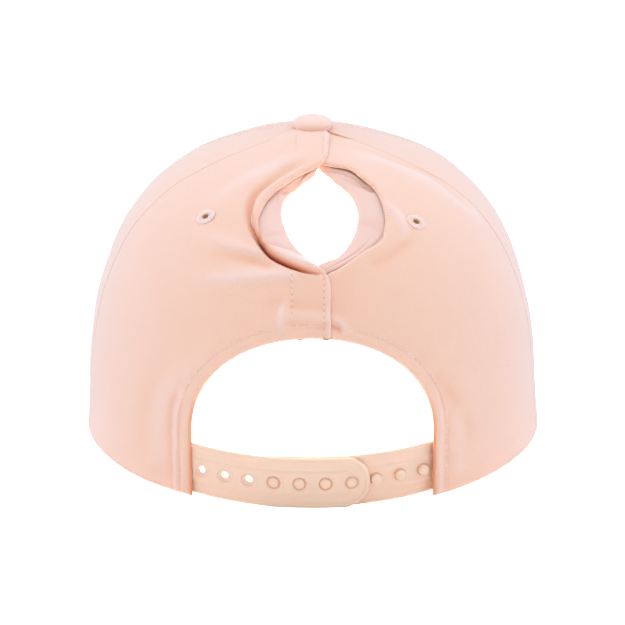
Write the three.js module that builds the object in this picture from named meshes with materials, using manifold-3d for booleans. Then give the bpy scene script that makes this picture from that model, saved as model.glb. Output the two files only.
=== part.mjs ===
// A five-panel cap with a ponytail opening and a snap strap, in millimetres, +Z up.
// It rests on its strap and its visor's sides, the visor to -Y, the wearer's left to +X.
import * as THREE from 'three';
import { mergeVertices } from 'three/addons/utils/BufferGeometryUtils.js';
import Module from 'manifold-3d';

const wasm = await Module();
wasm.setup();

// Driving dimensions
const CROWN = {
  halfWidth: 91.3,    // at the rim, without the flare
  back: 95,           // from the button's axis to the rim at the back
  front: 97,          // and at the front
  height: 117.4,      // of the top above the rim
  roundPlan: 2.87,    // exponent of the profile across
  roundRise: 2.65,    // exponent of the profile upwards
  flare: 1.2,         // how far the rim turns out
  flareReach: 10,     // height over which it does
  topRise: 7.5,       // how much further the cloth rises to the button
  topReach: 29,       // over this distance round it
};
const TILT = THREE.MathUtils.degToRad(8);         // the rim's slope when the cap rests
const FRONT_RISE = 7;                             // the rim arches up over the visor
const CLOTH = 1.2;                                // thickness of the panels' cloth
const GAP = 0.3;                                  // kept between pieces that touch
const CENTRE_HOLE = 6.5;                          // the panels end this far from the button's axis

// The side panels' seams, in degrees from the centre back; the rear one bends back near the button
const SEAM = { backAngle: 79, backBend: 28, bendReach: 42, frontAngle: 118 };

const LAP = {
  half: 7.3,          // the left back panel laps over the right one, this far past the centre back
  lift: 0.75,         // and each is lifted or sunk by this there
  flat: 9.5,          // out to here
  ramp: 18,           // and no more from here on
  openFrom: 34,       // the ponytail opening parts the lap between these distances down the back
  openTo: 82,
};
// The arch over the strap: its foot is so far down the back, and the cloth's rows over its top and
// its foot meet the side seam so far down
const ARCH = { half: 47.3, rise: 40.5, foot: 151.7, topSeam: 101.7, footSeam: 157.7 };
const HEM = {
  columns: [0, 0.4, 1.0, 1.8, 2.8],   // of the grid, in hem widths from a panel's free edge
  width: 6,                           // where the edge tables give no other
  most: 0.4,                          // share of a row that the hem's columns take at most
  crease: 1.8,                        // half width of the crease beside it
};

const VISOR = {
  span: 62,           // degrees of the rim that it is sewn to, each way
  half: 86,           // half width
  side: 50,           // from the button's axis forward to its corners
  reach: 167,         // and to its front edge
  roundness: 0.75,    // exponent of its outline
  slope: 0.27,        // fall forwards along the middle
  camber: 0.76,       // and more towards the sides
  thick: 3,
};
const SWEATBAND = { from: 39.5, bottom: 1, top: 31, thick: 1.2, clear: 1.6 };
const EYELET_PLACE = { 1: { x: 41.2, down: 68.2 }, [-1]: { x: 40.0, down: 69.8 } };   // by side
const EYELET = { neck: 2.5, lift: 0.4 };

const STRAP = {
  width: 20.7,
  thick: 1.3,
  pitch: 10,          // between the pegs
  count: 7,
  firstPeg: 15,       // from the centre back to the last fastened pair
  tip: 22.6,          // from the centre back to the round end
  tipWidth: 2.4,      // of the flat at the round end
  hiddenEnd: 62,      // along the back, under the panel
  inset: 1.7,         // of its outer face from the crown's plan
  foot: -0.45,        // its lower edge at the centre back, from the rim's level
  rise: 1.1,          // and how much higher that edge is
  riseAt: 50,         // this far along the back
};
const PEG = { radius: 2.25, proud: 0.7 };
const HOLE_RADIUS = 2.55;
const REST = { y: CROWN.back - STRAP.inset, z: -0.15 };   // the strap's foot, on the surface

// The left back panel's free edge, from the button down to the arch.
// x is mm outwards from the centre back, down is mm down the centre back from the button,
// seam is how far down the side seam that row of cloth ends, gap is the width of the rolled hem up
// to the crease beside it, and dip is that crease's depth.
const LEFT_EDGE = [
  { x: -4.9, down: 6.5, seam: 6.5, gap: 6.0, dip: 0.0 },
  { x: -6.9, down: 11.0, seam: 11.0, gap: 6.0, dip: 0.0 },
  { x: -6.7, down: 15.5, seam: 16.0, gap: 6.0, dip: 0.0 },
  { x: -6.4, down: 20.5, seam: 22.0, gap: 6.0, dip: 0.0 },
  { x: -6.1, down: 25.2, seam: 27.5, gap: 7.0, dip: 0.1 },
  { x: -4.7, down: 28.8, seam: 31.5, gap: 6.6, dip: 0.6 },
  { x: -2.0, down: 32.0, seam: 35.2, gap: 6.0, dip: 1.1 },
  { x: 4.5, down: 36.6, seam: 40.3, gap: 5.0, dip: 1.8 },
  { x: 8.0, down: 40.2, seam: 44.0, gap: 6.0, dip: 2.1 },
  { x: 11.4, down: 44.5, seam: 48.5, gap: 6.2, dip: 2.4 },
  { x: 14.2, down: 47.9, seam: 52.2, gap: 6.0, dip: 2.6 },
  { x: 16.4, down: 51.4, seam: 56.1, gap: 5.6, dip: 2.8 },
  { x: 18.2, down: 54.8, seam: 59.6, gap: 5.0, dip: 3.0 },
  { x: 19.4, down: 58.2, seam: 63.1, gap: 4.5, dip: 3.0 },
  { x: 20.9, down: 64.2, seam: 68.6, gap: 3.4, dip: 3.0 },
  { x: 20.5, down: 68.7, seam: 73.1, gap: 2.9, dip: 3.2 },
  { x: 19.3, down: 72.9, seam: 77.1, gap: 3.0, dip: 3.8 },
  { x: 15.0, down: 74.7, seam: 79.2, gap: 6.4, dip: 4.4 },
  { x: 9.4, down: 76.3, seam: 81.2, gap: 10.5, dip: 4.8 },
  { x: 5.9, down: 77.7, seam: 83.2, gap: 13.0, dip: 5.0 },
  { x: 2.5, down: 79.9, seam: 85.2, gap: 14.5, dip: 4.8 },
  { x: -3.0, down: 83.7, seam: 87.7, gap: 12.5, dip: 3.6 },
  { x: -6.0, down: 87.2, seam: 89.7, gap: 6.5, dip: 1.4 },
  { x: -6.9, down: 90.7, seam: 91.7, gap: 5.0, dip: 0.0 },
  { x: -7.0, down: 100.7, seam: 96.7, gap: 5.0, dip: 0.0 },
];

// The right back panel's free edge, under the left one where x is less than 0.
const RIGHT_EDGE = [
  { x: -4.9, down: 6.5, seam: 6.5, gap: 6.0, dip: 0.0 },
  { x: -7.0, down: 11.0, seam: 11.0, gap: 6.0, dip: 0.0 },
  { x: -7.3, down: 17.0, seam: 18.0, gap: 6.0, dip: 0.0 },
  { x: -7.3, down: 22.5, seam: 24.0, gap: 6.0, dip: 0.0 },
  { x: -3.0, down: 25.7, seam: 28.2, gap: 6.0, dip: 0.0 },
  { x: 2.0, down: 27.7, seam: 30.8, gap: 6.0, dip: 0.0 },
  { x: 6.9, down: 30.1, seam: 33.2, gap: 5.0, dip: 0.2 },
  { x: 11.0, down: 32.2, seam: 35.6, gap: 5.0, dip: 0.4 },
  { x: 15.0, down: 35.2, seam: 38.5, gap: 5.0, dip: 0.5 },
  { x: 18.9, down: 40.8, seam: 43.9, gap: 5.0, dip: 0.6 },
  { x: 21.6, down: 44.6, seam: 48.0, gap: 5.0, dip: 0.6 },
  { x: 23.9, down: 48.2, seam: 52.2, gap: 5.0, dip: 0.6 },
  { x: 26.1, down: 53.6, seam: 57.6, gap: 5.0, dip: 0.5 },
  { x: 27.2, down: 57.9, seam: 62.1, gap: 5.0, dip: 0.3 },
  { x: 28.3, down: 65.6, seam: 69.6, gap: 5.0, dip: 0.2 },
  { x: 27.8, down: 69.9, seam: 74.1, gap: 5.0, dip: 0.2 },
  { x: 26.6, down: 73.9, seam: 78.1, gap: 5.0, dip: 0.4 },
  { x: 20.8, down: 77.0, seam: 81.2, gap: 6.0, dip: 0.5 },
  { x: 15.0, down: 80.9, seam: 84.2, gap: 6.0, dip: 0.4 },
  { x: 9.3, down: 84.2, seam: 87.2, gap: 6.0, dip: 0.2 },
  { x: 6.3, down: 85.6, seam: 89.2, gap: 6.0, dip: 0.0 },
  { x: 3.0, down: 90.2, seam: 92.2, gap: 6.0, dip: 0.0 },
  { x: -3.0, down: 93.7, seam: 95.2, gap: 6.0, dip: 0.0 },
  { x: -7.3, down: 97.7, seam: 97.7, gap: 6.0, dip: 0.0 },
  { x: -7.3, down: 104.2, seam: 100.2, gap: 6.0, dip: 0.0 },
];

// The inner facings of the ponytail opening, from top to bottom: the outer edge, tucked under the panel,
// and the inner edge, which is the rim of the hole. In and out are depths inside the crown's face.
const LEFT_FACING = [
  { outerX: -1.8, outerDown: 31.3, out: 2.1, innerX: -1.2, innerDown: 32.7, in: 3.6 },
  { outerX: 2.2, outerDown: 33.9, out: 2.0, innerX: 1.2, innerDown: 35.0, in: 4.0 },
  { outerX: 7.0, outerDown: 37.8, out: 1.9, innerX: 4.3, innerDown: 37.7, in: 4.6 },
  { outerX: 12.6, outerDown: 43.8, out: 1.8, innerX: 8.5, innerDown: 42.3, in: 5.0 },
  { outerX: 17.8, outerDown: 50.7, out: 1.8, innerX: 11.4, innerDown: 48.3, in: 5.0 },
  { outerX: 20.8, outerDown: 57.8, out: 1.8, innerX: 12.4, innerDown: 55.0, in: 5.0 },
  { outerX: 21.7, outerDown: 64.0, out: 1.8, innerX: 11.8, innerDown: 60.9, in: 5.0 },
  { outerX: 21.2, outerDown: 68.6, out: 1.8, innerX: 10.2, innerDown: 66.2, in: 5.0 },
  { outerX: 19.6, outerDown: 72.8, out: 1.9, innerX: 8.6, innerDown: 69.8, in: 4.8 },
  { outerX: 15.2, outerDown: 76.8, out: 2.2, innerX: 6.4, innerDown: 73.2, in: 4.4 },
  { outerX: 11.0, outerDown: 78.8, out: 2.6, innerX: 3.8, innerDown: 76.2, in: 4.2 },
];
const RIGHT_FACING = [
  { outerX: 4.5, outerDown: 29.1, out: 3.4, innerX: 3.7, innerDown: 32.2, in: 4.4 },
  { outerX: 9.2, outerDown: 30.4, out: 3.0, innerX: 5.7, innerDown: 34.3, in: 4.4 },
  { outerX: 16.0, outerDown: 34.0, out: 2.4, innerX: 8.7, innerDown: 36.9, in: 4.6 },
  { outerX: 20.9, outerDown: 39.9, out: 1.9, innerX: 12.1, innerDown: 40.1, in: 5.0 },
  { outerX: 25.5, outerDown: 47.1, out: 1.8, innerX: 15.1, innerDown: 44.9, in: 5.0 },
  { outerX: 28.3, outerDown: 54.0, out: 1.8, innerX: 17.5, innerDown: 51.1, in: 5.0 },
  { outerX: 29.9, outerDown: 60.6, out: 1.8, innerX: 18.5, innerDown: 57.1, in: 5.0 },
  { outerX: 30.3, outerDown: 66.6, out: 1.8, innerX: 18.1, innerDown: 63.0, in: 5.0 },
  { outerX: 29.2, outerDown: 72.1, out: 1.8, innerX: 16.2, innerDown: 68.9, in: 5.0 },
  { outerX: 26.5, outerDown: 76.6, out: 1.9, innerX: 13.6, innerDown: 73.6, in: 4.6 },
  { outerX: 20.3, outerDown: 80.3, out: 2.0, innerX: 10.3, innerDown: 77.5, in: 4.2 },
  { outerX: 13.5, outerDown: 84.3, out: 2.3, innerX: 6.6, innerDown: 80.4, in: 4.0 },
  { outerX: 8.6, outerDown: 86.7, out: 2.8, innerX: 4.0, innerDown: 82.5, in: 3.9 },
];
const FACING_THICK = 1.0;

// Turned shapes, as radius and height. The button's starts inside its shank, below the cloth.
const BUTTON_LIFT = 0.8;
const BUTTON_PROFILE = [
  { radius: 0.0, up: -3.2 },
  { radius: 2.6, up: -3.2 },
  { radius: 2.6, up: 0.0 },
  { radius: 7.2, up: 0.0 },
  { radius: 8.0, up: 0.9 },
  { radius: 7.5, up: 2.4 },
  { radius: 5.3, up: 3.8 },
  { radius: 2.4, up: 4.45 },
  { radius: 0.0, up: 4.6 },
];
const EYELET_PROFILE = [
  { radius: 1.3, up: -1.8 },
  { radius: 2.5, up: -1.8 },
  { radius: 2.5, up: 0.3 },
  { radius: 4.4, up: 0.3 },
  { radius: 3.9, up: 0.8 },
  { radius: 2.85, up: 1.0 },
  { radius: 1.3, up: 0.6 },
  { radius: 1.3, up: -1.8 },
];

// Soft folds of the back panels, straight from one point to the other, raised or, with a minus, sunk.
const FOLDS = [
  { side: 1, fromX: 35.7, fromDown: 93.1, toX: 8.0, toDown: 88.9, height: 1.1, width: 4.0 },
  { side: 1, fromX: 38.0, fromDown: 83.6, toX: 22.0, toDown: 84.2, height: -0.8, width: 3.5 },
  { side: 1, fromX: 52.0, fromDown: 139.7, toX: 56.0, toDown: 165.7, height: 1.2, width: 4.0 },
  { side: 1, fromX: 60.0, fromDown: 135.7, toX: 65.0, toDown: 159.7, height: -1.0, width: 5.0 },
  { side: -1, fromX: 11.9, fromDown: 22.3, toX: 29.0, toDown: 41.2, height: 1.0, width: 5.0 },
  { side: -1, fromX: 29.0, fromDown: 41.2, toX: 50.0, toDown: 61.5, height: 1.2, width: 5.0 },
  { side: -1, fromX: 50.0, fromDown: 61.5, toX: 70.9, toDown: 87.4, height: 0.9, width: 5.0 },
  { side: -1, fromX: 30.5, fromDown: 58.6, toX: 34.0, toDown: 71.6, height: 0.8, width: 2.6 },
  { side: -1, fromX: 49.0, fromDown: 132.7, toX: 59.0, toDown: 153.7, height: -1.1, width: 3.5 },
  { side: -1, fromX: 52.0, fromDown: 145.7, toX: 52.0, toDown: 169.7, height: 1.0, width: 4.0 },
];

const COLOURS = { twill: 0xf8d8cc, tape: 0xf6d2c4, plastic: 0xf2d0bc, thread: 0xfbe8dc, lining: 0xf6ded4 };

const twill = new THREE.MeshStandardMaterial({ color: COLOURS.twill, roughness: 0.95, metalness: 0 });
const tape = new THREE.MeshStandardMaterial({ color: COLOURS.tape, roughness: 0.95, metalness: 0 });
const plastic = new THREE.MeshStandardMaterial({ color: COLOURS.plastic, roughness: 0.45, metalness: 0 });
const thread = new THREE.MeshStandardMaterial({ color: COLOURS.thread, roughness: 0.8, metalness: 0 });
const lining = new THREE.MeshStandardMaterial({ color: COLOURS.lining, roughness: 0.95, metalness: 0 });

const { clamp, degToRad, lerp, smoothstep } = THREE.MathUtils;

// The crown's plan radius towards an angle from the centre back
function planRadius(angle) {
  const depth = Math.cos(angle) > 0 ? CROWN.back : CROWN.front;
  return 1 / Math.hypot(Math.sin(angle) / CROWN.halfWidth, Math.cos(angle) / depth);
}

function rimHeight(angle) {
  const away = Math.acos(Math.cos(angle));
  return FRONT_RISE * smoothstep(away, degToRad(100), Math.PI);
}

// A point of the crown's outer face, from its angle and its steepness, 0 at the rim and a right angle on top
function crownAt(angle, steep) {
  const rim = rimHeight(angle);
  const plan = planRadius(angle) * Math.cos(steep) ** (2 / CROWN.roundPlan);
  const rise = (CROWN.height - rim) * Math.sin(steep) ** (2 / CROWN.roundRise);
  const radius = plan + CROWN.flare * Math.exp(-rise / CROWN.flareReach);
  const height = rim + rise + CROWN.topRise * Math.exp(-((plan / CROWN.topReach) ** 2));
  return new THREE.Vector3(radius * Math.sin(angle), radius * Math.cos(angle), height);
}

// The centre back from the button down to the rim
class BackLine extends THREE.Curve {
  getPoint(t) {
    return crownAt(0, (1 - t) * Math.PI / 2);
  }
}
const backLine = new BackLine();
backLine.arcLengthDivisions = 1000;
const RIM_DOWN = backLine.getLength();

function steepAt(down) {
  return (1 - backLine.getUtoTmapping(0, down)) * Math.PI / 2;
}

// A point at an angle, so far down the back, and lifted off the crown's outer face along its normal
function onCrown(angle, down, lift = 0) {
  const turn = 0.02;
  const step = 0.5;
  const within = Math.min(Math.max(down, step), RIM_DOWN);
  const steep = steepAt(within);
  const across = crownAt(angle + turn, steep).sub(crownAt(angle - turn, steep));
  const below = crownAt(angle, steepAt(Math.min(within + step, RIM_DOWN)));
  const along = below.sub(crownAt(angle, steepAt(within - step)));
  const normal = across.cross(along).normalize();
  return crownAt(angle, steep).addScaledVector(normal, lift);
}

// The angle at which a point so far down the back lies x mm out from the centre
function angleOf(x, down) {
  const rounds = 6;
  let angle = 0;
  for (let i = 0; i < rounds; i++) {
    angle = Math.asin(clamp(x / radiusAt(angle, down), -0.99, 0.99));
  }
  return angle;
}

function radiusAt(angle, down) {
  const point = crownAt(angle, steepAt(down));
  return Math.hypot(point.x, point.y);
}

// A closed sheet: a box with a grid of cells, each vertex sent to place(u, v, w), w 0 inside and 1 outside
function sheet(columns, rows, place) {
  const geometry = new THREE.BoxGeometry(1, 1, 1, columns, rows, 1);
  const position = geometry.attributes.position;
  for (let i = 0; i < position.count; i++) {
    const point = place(position.getX(i) + 0.5, position.getY(i) + 0.5, position.getZ(i) + 0.5);
    position.setXYZ(i, point.x, point.y, point.z);
  }
  return welded(geometry);
}

function welded(geometry) {
  geometry.deleteAttribute('normal');
  geometry.deleteAttribute('uv');
  return mergeVertices(geometry, 1e-4);
}

function solidOf(geometry) {
  const vertProperties = new Float32Array(geometry.attributes.position.array);
  const triVerts = new Uint32Array(geometry.index.array);
  return new wasm.Manifold(new wasm.Mesh({ numProp: 3, vertProperties, triVerts }));
}

function geometryOf(solid) {
  const mesh = solid.getMesh();
  const geometry = new THREE.BufferGeometry();
  geometry.setAttribute('position', new THREE.BufferAttribute(mesh.vertProperties, 3));
  geometry.setIndex(new THREE.BufferAttribute(mesh.triVerts, 1));
  return geometry;
}

// A closed shape turned about the Z axis
function turned(profile, sides) {
  const points = profile.map(({ radius, up }) => new THREE.Vector2(radius, up));
  return new THREE.LatheGeometry(points, sides).rotateX(Math.PI / 2);
}

// The side seam's angle, which bends towards the back near the button
function seamAngle(down) {
  return degToRad(SEAM.backAngle - SEAM.backBend * Math.exp(-down / SEAM.bendReach));
}

function distanceToLine(point, from, to) {
  return new THREE.Line3(from, to).closestPointToPoint(point, true, new THREE.Vector3()).distanceTo(point);
}

const FOLD_LINES = FOLDS.map((fold) => ({
  ...fold,
  from: onCrown(angleOf(fold.side * fold.fromX, fold.fromDown), fold.fromDown),
  to: onCrown(angleOf(fold.side * fold.toX, fold.toDown), fold.toDown),
}));

function foldLift(side, point) {
  let lift = 0;
  for (const fold of FOLD_LINES) {
    if (fold.side !== side) continue;
    lift += fold.height * Math.exp(-((distanceToLine(point, fold.from, fold.to) / fold.width) ** 2));
  }
  return lift;
}

// The rolled hem beside the opening, and the crease that parts it from the panel
function hemLift(away, gap, dip) {
  const roll = 0.25 * dip * Math.exp(-(((away - 0.4 * gap) / (0.35 * gap)) ** 2));
  const crease = dip * Math.exp(-(((away - gap) / HEM.crease) ** 2));
  return roll - crease;
}

// How much the lap lifts the left back panel, and sinks the right one, out mm from the centre back
function lapLift(side, out, station) {
  if (station.down > LAP.openFrom && station.down < LAP.openTo) return 0;
  return side * LAP.lift * (1 - smoothstep(out, LAP.flat, LAP.ramp));
}

// The free edge over the arch and down its leg
function archStations() {
  const archRows = 12;
  const legRows = 3;
  const firstTurn = Math.asin(-LAP.half / ARCH.half);
  const stations = [];
  for (let i = 0; i <= archRows; i++) {
    const turn = lerp(firstTurn, Math.PI / 2, i / archRows);
    const x = ARCH.half * Math.sin(turn);
    const down = ARCH.foot - ARCH.rise * Math.cos(turn);
    const seam = lerp(ARCH.topSeam, ARCH.footSeam, i / archRows);
    stations.push({ x, down, seam, gap: HEM.width, dip: 0 });
  }
  for (let i = 1; i <= legRows; i++) {
    const down = lerp(ARCH.foot, RIM_DOWN, i / legRows);
    const seam = lerp(ARCH.footSeam, RIM_DOWN, i / legRows);
    stations.push({ x: ARCH.half, down, seam, gap: HEM.width, dip: 0 });
  }
  return stations;
}

// A back panel: rows of cloth run from its free edge to the side seam, side is 1 for the left one
function backPanel(side, edge) {
  const stations = [...edge, ...archStations()];
  const rows = stations.length - 1;
  const hemColumns = HEM.columns.length - 1;
  const wideColumns = 8;
  const columns = hemColumns + wideColumns;
  return sheet(columns, rows, (u, v, w) => {
    const station = stations[Math.round((1 - v) * rows)];
    const column = Math.round((side > 0 ? 1 - u : u) * columns);
    const start = angleOf(side * station.x, station.down);
    const seam = seamAngle(station.seam);
    const end = side * (seam - GAP / 2 / radiusAt(seam, station.seam));
    const length = Math.abs(end - start) * radiusAt(start, station.down);
    const hemShare = Math.min(HEM.columns[hemColumns] * station.gap / length, HEM.most);
    const part = column <= hemColumns
      ? hemShare * HEM.columns[column] / HEM.columns[hemColumns]
      : lerp(hemShare, 1, (column - hemColumns) / wideColumns);
    const angle = lerp(start, end, part);
    const down = lerp(station.down, station.seam, part);
    const face = onCrown(angle, down);
    const hem = hemLift(part * length, station.gap, station.dip);
    const lift = lapLift(side, side * face.x, station) + hem + foldLift(side, face);
    return onCrown(angle, down, lift + (w - 1) * CLOTH);
  });
}

// A panel between two seams, given as angles at a distance down the back
function plainPanel(columns, from, to) {
  const rows = 13;
  return sheet(columns, rows, (u, v, w) => {
    const down = lerp(CENTRE_HOLE, RIM_DOWN, 1 - v);
    const first = from(down) + GAP / 2 / radiusAt(from(down), down);
    const last = to(down) - GAP / 2 / radiusAt(to(down), down);
    return onCrown(lerp(last, first, u), down, (w - 1) * CLOTH);
  });
}

function facing(side, table) {
  const rows = table.length - 1;
  return sheet(3, rows, (u, v, w) => {
    const station = table[Math.round((1 - v) * rows)];
    const across = side > 0 ? 1 - u : u;
    const x = lerp(station.innerX, station.outerX, across);
    const down = lerp(station.innerDown, station.outerDown, across);
    const depth = lerp(station.in, station.out, across);
    return onCrown(angleOf(side * x, down), down, -depth + (w - 1) * FACING_THICK);
  });
}

// The level of the surface that the cap rests on, in the cap's own frame
function restLevel(y) {
  return REST.z + (y - REST.y) * Math.tan(TILT);
}

function visor() {
  return sheet(28, 8, (u, v, w) => {
    const side = 1 - 2 * u;
    const ahead = 1 - v;
    const angle = Math.PI + side * degToRad(VISOR.span);
    const root = onCrown(angle, RIM_DOWN, -CLOTH / 2);
    const turn = side * Math.PI / 2;
    const tipX = -VISOR.half * Math.sin(turn);
    const tipY = -lerp(VISOR.side, VISOR.reach, Math.cos(turn) ** VISOR.roundness);
    const forward = ahead * Math.hypot(tipX - root.x, tipY - root.y);
    const top = rimHeight(angle) - GAP - forward * (VISOR.slope + VISOR.camber * side * side);
    const y = lerp(root.y, tipY, ahead);
    const z = Math.max(top, restLevel(y) + VISOR.thick) + (w - 1) * VISOR.thick;
    return new THREE.Vector3(lerp(root.x, tipX, ahead), y, z);
  });
}

function sweatband() {
  const inner = CLOTH + SWEATBAND.clear;
  const from = degToRad(SWEATBAND.from);
  return sheet(40, 2, (u, v, w) => {
    const angle = lerp(2 * Math.PI - from, from, u);
    const share = lerp(SWEATBAND.bottom, SWEATBAND.top, v);
    return onCrown(angle, RIM_DOWN - share, -inner + (w - 1) * SWEATBAND.thick);
  });
}

function button() {
  return welded(turned(BUTTON_PROFILE, 20).translate(0, 0, CROWN.height + CROWN.topRise + BUTTON_LIFT));
}

// Places a shape made about the Z axis at an eyelet's place, so that +Z points out of the cloth
function setAtEyelet(geometry, side) {
  const { x, down } = EYELET_PLACE[side];
  const angle = angleOf(side * x, down);
  const face = onCrown(angle, down);
  const foot = onCrown(angle, down, foldLift(side, face) + EYELET.lift);
  const normal = onCrown(angle, down, 1).sub(face);
  const turn = new THREE.Quaternion().setFromUnitVectors(new THREE.Vector3(0, 0, 1), normal);
  return geometry.applyQuaternion(turn).translate(foot.x, foot.y, foot.z);
}

function eyelet(side) {
  return welded(setAtEyelet(turned(EYELET_PROFILE, 14), side));
}

function withEyeletHole(geometry, side) {
  const radius = EYELET.neck + GAP;
  const drill = new THREE.CylinderGeometry(radius, radius, 10 * CLOTH, 14).rotateX(Math.PI / 2);
  const hole = welded(setAtEyelet(drill, side));
  return geometryOf(solidOf(geometry).subtract(solidOf(hole)));
}

// A strap's way round the left side of the back, in plan
class StrapLine extends THREE.Curve {
  getPoint(t) {
    const angle = t * Math.PI / 2;
    const radius = planRadius(angle) - STRAP.inset;
    return new THREE.Vector3(radius * Math.sin(angle), radius * Math.cos(angle), 0);
  }
}
const strapLine = new StrapLine();
strapLine.arcLengthDivisions = 400;

// A point of a strap: mm along the back from the centre, mm up from its lower edge, inset from the crown
function strapPoint(along, up, inset) {
  const size = Math.abs(along);
  const angle = Math.sign(along) * strapLine.getUtoTmapping(0, size) * Math.PI / 2;
  const radius = planRadius(angle) - inset;
  const y = radius * Math.cos(angle);
  const foot = STRAP.foot + STRAP.rise * (size / STRAP.riseAt) ** 2;
  return new THREE.Vector3(radius * Math.sin(angle), y, Math.max(foot + up, restLevel(y)));
}

// A strap's strip, from its round tip to its hidden end; inset is that of its outer face
function strip(side, inset) {
  const tipColumns = 8;
  const plainColumns = 30;
  const columns = tipColumns + plainColumns;
  const half = STRAP.width / 2;
  return sheet(columns, 4, (u, v, w) => {
    const column = Math.round((side > 0 ? 1 - u : u) * columns);
    const turn = Math.min(column / tipColumns, 1) * Math.PI / 2;
    const plain = Math.max(column - tipColumns, 0) / plainColumns;
    const tipEnd = half - STRAP.tip;
    const along = plain > 0 ? lerp(tipEnd, STRAP.hiddenEnd, plain) : tipEnd - half * Math.cos(turn);
    const reach = Math.max(half * Math.sin(turn), STRAP.tipWidth / 2);
    const up = half + reach * (2 * v - 1);
    return strapPoint(side * along, up, inset + (1 - w) * STRAP.thick);
  });
}

// A round bar across the strap, from one inset to another
function bar(along, radius, from, to) {
  const geometry = new THREE.CylinderGeometry(radius, radius, to - from, 12);
  const middle = strapPoint(along, STRAP.width / 2, (from + to) / 2);
  const outwards = strapPoint(along, STRAP.width / 2, from).sub(middle).normalize();
  const turn = new THREE.Quaternion().setFromUnitVectors(new THREE.Vector3(0, 1, 0), outwards);
  return welded(geometry.applyQuaternion(turn).translate(middle.x, middle.y, middle.z));
}

function pegPlaces(side) {
  return Array.from({ length: STRAP.count }, (_, i) => side * (i * STRAP.pitch - STRAP.firstPeg));
}

function holedStrap() {
  const { inset, thick } = STRAP;
  const bars = pegPlaces(1).map((along) => bar(along, HOLE_RADIUS, inset - thick, inset + 2 * thick));
  return geometryOf(bars.reduce((body, hole) => body.subtract(solidOf(hole)), solidOf(strip(1, inset))));
}

function peggedStrap() {
  const inset = STRAP.inset + STRAP.thick + GAP;
  const [head, root] = [STRAP.inset - PEG.proud, inset + STRAP.thick / 2];
  const bars = pegPlaces(-1).map((along) => bar(along, PEG.radius, head, root));
  return geometryOf(bars.reduce((body, peg) => body.add(solidOf(peg)), solidOf(strip(-1, inset))));
}

function named(name, geometry, material) {
  const mesh = new THREE.Mesh(geometry, material);
  mesh.name = name;
  return mesh;
}

const left = 1;
const right = -1;
const frontSeam = degToRad(SEAM.frontAngle);

const cap = new THREE.Group();
cap.add(
  named('back_panel_left', withEyeletHole(backPanel(left, LEFT_EDGE), left), twill),
  named('back_panel_right', withEyeletHole(backPanel(right, RIGHT_EDGE), right), twill),
  named('side_panel_left', plainPanel(6, seamAngle, () => frontSeam), twill),
  named('side_panel_right', plainPanel(6, () => -frontSeam, (down) => -seamAngle(down)), twill),
  named('front_panel', plainPanel(16, () => frontSeam, () => 2 * Math.PI - frontSeam), twill),
  named('facing_left', facing(left, LEFT_FACING), tape),
  named('facing_right', facing(right, RIGHT_FACING), tape),
  named('visor', visor(), twill),
  named('sweatband', sweatband(), lining),
  named('button', button(), twill),
  named('eyelet_left', eyelet(left), thread),
  named('eyelet_right', eyelet(right), thread),
  named('strap_left', holedStrap(), plastic),
  named('strap_right', peggedStrap(), plastic),
);

// The cap leans back on its strap, and the origin is under the middle of its box
cap.rotation.x = -TILT;
cap.updateMatrixWorld(true);
const middle = new THREE.Box3().setFromObject(cap, true).getCenter(new THREE.Vector3());
const strapFoot = new THREE.Vector3(0, REST.y, REST.z).applyMatrix4(cap.matrixWorld);
cap.position.set(-middle.x, -middle.y, -strapFoot.z);

export default cap;
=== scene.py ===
import math

import bmesh
import bpy
import numpy as np
from mathutils import Matrix, Vector


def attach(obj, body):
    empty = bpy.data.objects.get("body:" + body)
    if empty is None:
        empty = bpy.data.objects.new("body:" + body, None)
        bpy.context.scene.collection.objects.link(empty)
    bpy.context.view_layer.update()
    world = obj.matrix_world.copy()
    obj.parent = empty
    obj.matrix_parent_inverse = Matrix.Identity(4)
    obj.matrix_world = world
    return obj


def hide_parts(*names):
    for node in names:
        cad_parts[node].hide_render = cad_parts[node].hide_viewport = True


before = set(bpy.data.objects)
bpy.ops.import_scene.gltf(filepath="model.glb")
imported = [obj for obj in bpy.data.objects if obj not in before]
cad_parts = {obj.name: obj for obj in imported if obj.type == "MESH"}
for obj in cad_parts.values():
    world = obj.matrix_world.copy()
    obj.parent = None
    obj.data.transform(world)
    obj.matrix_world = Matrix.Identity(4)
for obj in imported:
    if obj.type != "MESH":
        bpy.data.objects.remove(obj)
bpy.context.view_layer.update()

# The crown, as in the CAD model: its half widths and height at the rim, how full its two curves are,
# how the rim flares, the swell under the button, and how much higher the rim is in front
HALF_WIDTH = 91.3
BACK = 95.0
FRONT = 97.0
HEIGHT = 117.4
ROUND_PLAN = 2.87
ROUND_RISE = 2.65
FLARE = 1.2
FLARE_REACH = 10.0
TOP_RISE = 7.5
TOP_REACH = 29.0
FRONT_RISE = 7.0
CLOTH = 1.2
GAP = 0.3
CENTRE_HOLE = 6.5
TILT = math.radians(8)
PLACE = (0.0, 35.659, 13.133)  # of the cap's own origin, once it is tilted
FRONT_SEAM = math.radians(118)
SIDE_SEAM = 79  # in degrees at the rim; near the button it turns in
SIDE_SEAM_TURN = 28
SIDE_SEAM_REACH = 42
CROWN_INSIDE = (0.0, 0.0, 30.0)  # a point in the hollow, which every outer face looks away from
WEAVE_RADIUS = 70  # unrolls the plain panels' cloth

# Turned edges: their radii, and the most that they turn down together
EDGE_TURN = 1.5
RIM_TURN = 1.2
MOST_TURN = 1.6

# Beside a seam: the height, the distance from it and the half width of the dip and of the swell
SEAM_SHAPE = ((-0.08, 0.0, 0.45), (0.04, 2.4, 1.5))

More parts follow.
